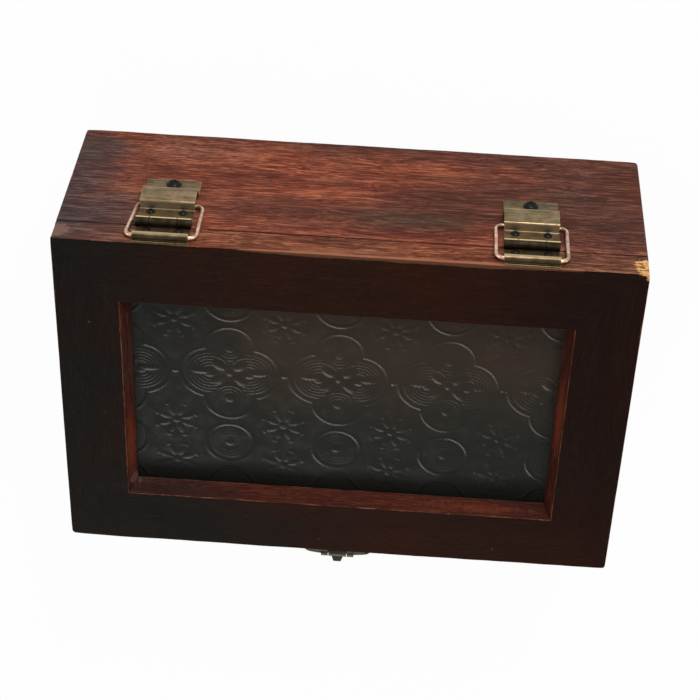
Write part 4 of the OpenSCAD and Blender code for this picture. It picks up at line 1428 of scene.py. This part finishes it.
@dataclass
class Clasp:
    """Hasp with its plates, pin, stud and screws."""

    def build(self, bronze: bpy.types.Material, steel: bpy.types.Material,
              black: bpy.types.Material) -> None:
        """Builds the clasp.

        Args:
            bronze: Material of the plates, the hasp and the stud.
            steel: Material of the pin.
            black: Material of the screws.
        """
        parts = (("clasp_lid_plate", "lid", 0.16 * MM, "bronze", bronze),
                 ("clasp_hasp", "hasp", 0.14 * MM, "bronze", bronze),
                 ("clasp_catch_plate", "case", 0.14 * MM, "bronze", bronze),
                 ("clasp_stud", "case", 0.12 * MM, "bronze", bronze),
                 ("clasp_pin", "lid", 0.08 * MM, "steel", steel),
                 ("clasp_lid_screws", "lid", 0.07 * MM, "blackened_steel", black),
                 ("clasp_catch_screws", "case", 0.07 * MM, "blackened_steel", black))
        for node, body, width, slot, material in parts:
            finish_piece(burnished(node, width), node + "_metal", body, node, material)


# ---- Studio ----


@dataclass
class Studio:
    """Pale floor, soft lamps and the camera of the photograph."""

    lens: float = 96.17
    sky: float = 0.34
    floor_half: float = 4.0
    floor_gap: float = 0.2 * MM

    def seen(self, nodes: bpy.types.Nodes, links: bpy.types.NodeLinks) -> Socket:
        """Share of the rays that look at the background: camera, glossy and transmission rays.

        Args:
            nodes: Nodes of the tree.
            links: Links of the tree.

        Returns:
            1 for those rays and 0 for the light that they bring to the object.
        """
        path = nodes.new("ShaderNodeLightPath")
        total = path.outputs["Is Camera Ray"]
        for name in ("Is Glossy Ray", "Is Transmission Ray"):
            either = nodes.new("ShaderNodeMath")
            either.operation = "MAXIMUM"
            links.new(total, either.inputs[0])
            links.new(path.outputs[name], either.inputs[1])
            total = either.outputs[0]
        return total

    def sky_light(self) -> None:
        """White world, plain and weaker where it lights the object."""
        world = bpy.data.worlds.new("sky")
        bpy.context.scene.world = world
        world.use_nodes = True
        nodes, links = world.node_tree.nodes, world.node_tree.links
        background = nodes["Background"]
        background.inputs["Color"].default_value = (1, 1, 1, 1)
        level = nodes.new("ShaderNodeMapRange")
        links.new(self.seen(nodes, links), level.inputs["Value"])
        level.inputs["To Min"].default_value = self.sky
        level.inputs["To Max"].default_value = 1.0
        links.new(level.outputs[0], background.inputs["Strength"])

    def floor(self) -> None:
        """White floor that keeps a faint shadow and is clear from below."""
        bm = bmesh.new()
        bmesh.ops.create_grid(bm, x_segments=1, y_segments=1, size=self.floor_half)
        bmesh.ops.translate(bm, verts=bm.verts[:], vec=(0, 0, -self.floor_gap))
        mesh = bpy.data.meshes.new("floor")
        bm.to_mesh(mesh)
        bm.free()
        obj = show("floor", mesh)
        material = bpy.data.materials.new("floor_white")
        material.use_nodes = True
        nodes, links = material.node_tree.nodes, material.node_tree.links
        nodes.clear()
        output = nodes.new("ShaderNodeOutputMaterial")
        diffuse = nodes.new("ShaderNodeBsdfDiffuse")
        diffuse.inputs["Color"].default_value = (0.92, 0.92, 0.92, 1)
        glow = nodes.new("ShaderNodeEmission")
        glow.inputs["Strength"].default_value = 1.0
        mix = nodes.new("ShaderNodeMixShader")
        share = nodes.new("ShaderNodeMath")
        share.operation = "MULTIPLY"
        share.inputs[1].default_value = 0.95
        links.new(self.seen(nodes, links), share.inputs[0])
        links.new(share.outputs[0], mix.inputs[0])
        links.new(diffuse.outputs[0], mix.inputs[1])
        links.new(glow.outputs[0], mix.inputs[2])
        below = nodes.new("ShaderNodeMixShader")
        links.new(nodes.new("ShaderNodeNewGeometry").outputs["Backfacing"], below.inputs[0])
        links.new(mix.outputs[0], below.inputs[1])
        links.new(nodes.new("ShaderNodeBsdfTransparent").outputs[0], below.inputs[2])
        links.new(below.outputs[0], output.inputs["Surface"])
        mesh.materials.append(material)

    def lamp(self, name: str, place: Sequence[float], target: Sequence[float], size: float,
             watts: float) -> None:
        """Adds a square area lamp that faces a point.

        Args:
            name: Name of the lamp.
            place: Its place.
            target: Point that it faces.
            size: Length of its side.
            watts: Its power.
        """
        light = bpy.data.lights.new(name, "AREA")
        light.shape = "SQUARE"
        light.size = size
        light.energy = watts
        obj = show(name, light)
        obj.location = place
        obj.rotation_euler = (Vector(target) - Vector(place)).to_track_quat("-Z", "Y").to_euler()

    def camera(self) -> None:
        """Camera of the photograph: behind the box and above it, turned half round."""
        data = bpy.data.cameras.new("camera")
        data.sensor_width = 36.0
        data.lens = self.lens
        data.clip_start = 0.01
        obj = show("camera", data)
        right = Vector((0.99754, 0.03290, -0.06181))
        up = Vector((-0.06340, 0.79894, -0.59806))
        back = right.cross(up)
        place = Vector((0.02497, 0.49727, 0.70365))
        obj.matrix_world = Matrix.Translation(place) @ Matrix((right, up, back)).transposed().to_4x4()
        bpy.context.scene.camera = obj

    def build(self) -> None:
        """Sets up the whole studio."""
        self.sky_light()
        self.floor()
        self.lamp("hinge_side_key", (0.25, 1.25, 0.55), (0, 0.05, 0.05), 0.55, 15.0)
        self.lamp("front_fill", (-0.30, -1.55, 0.95), (0, 0, 0.04), 0.7, 12.0)
        self.lamp("right_fill", (1.4, 0.1, 0.6), (0, 0, 0.04), 0.8, 5.0)
        self.lamp("left_fill", (-1.4, 0.3, 0.6), (0, 0, 0.04), 0.8, 5.0)
        self.camera()
        bpy.context.scene.view_settings.view_transform = "Standard"


def main() -> None:
    """Builds every piece."""
    logging.basicConfig(level=logging.INFO, format="%(name)s %(message)s")
    Studio().build()
    case_woods, lid_woods = (
        {axis: StainedWood(f"{part}_wood_{axis.value}", axis, low, high).material() for axis in Axis}
        for part, low, high in (("case", 0.0, SEAM_Z), ("lid", SEAM_Z, TOP_Z)))
    bronze = Bronze("leaf_bronze").material()
    wire = Bronze("ring_bronze", body=(0.50, 0.350, 0.235), bright=(0.80, 0.62, 0.40), roughness=0.30,
                  recess=0.0).material()
    # Painted shade: the clasp bronze is a far darker copy of the leaf bronze, as the clasp sits on the
    # front, which lies in shade.
    painted_shade_clasp_bronze = Bronze("painted_shade_clasp_bronze", body=(0.034, 0.032, 0.022), bright=(0.105, 0.098, 0.070),
                          recess=0.0).material()
    steel = PaintedSteel("plain_steel", (0.42, 0.41, 0.39), (0.7, 0.7, 0.68), 1.0, 0.32).material()
    pin = PaintedSteel("pin_steel", (0.040, 0.033, 0.024), (0.20, 0.17, 0.11), 1.0, 0.42).material()
    # The blackened screws' lighter edges are painted glints.
    black = PaintedSteel("black_steel", (0.0075, 0.0078, 0.0065), (0.11, 0.115, 0.085), 0.4, 0.30,
                         0.12).material()
    LowerBox().build(case_woods, case_woods[Axis.X], steel)
    LidFrame().build(lid_woods, steel)
    PatternPane().build(RolledGlass().material())
    for side, lean in (("left", 2.2 * MM), ("right", 0.0)):
        StayHinge(side, lean).build(bronze, wire, pin, black)
    Clasp().build(painted_shade_clasp_bronze, pin, black)


if __name__ == "__main__":
    main()
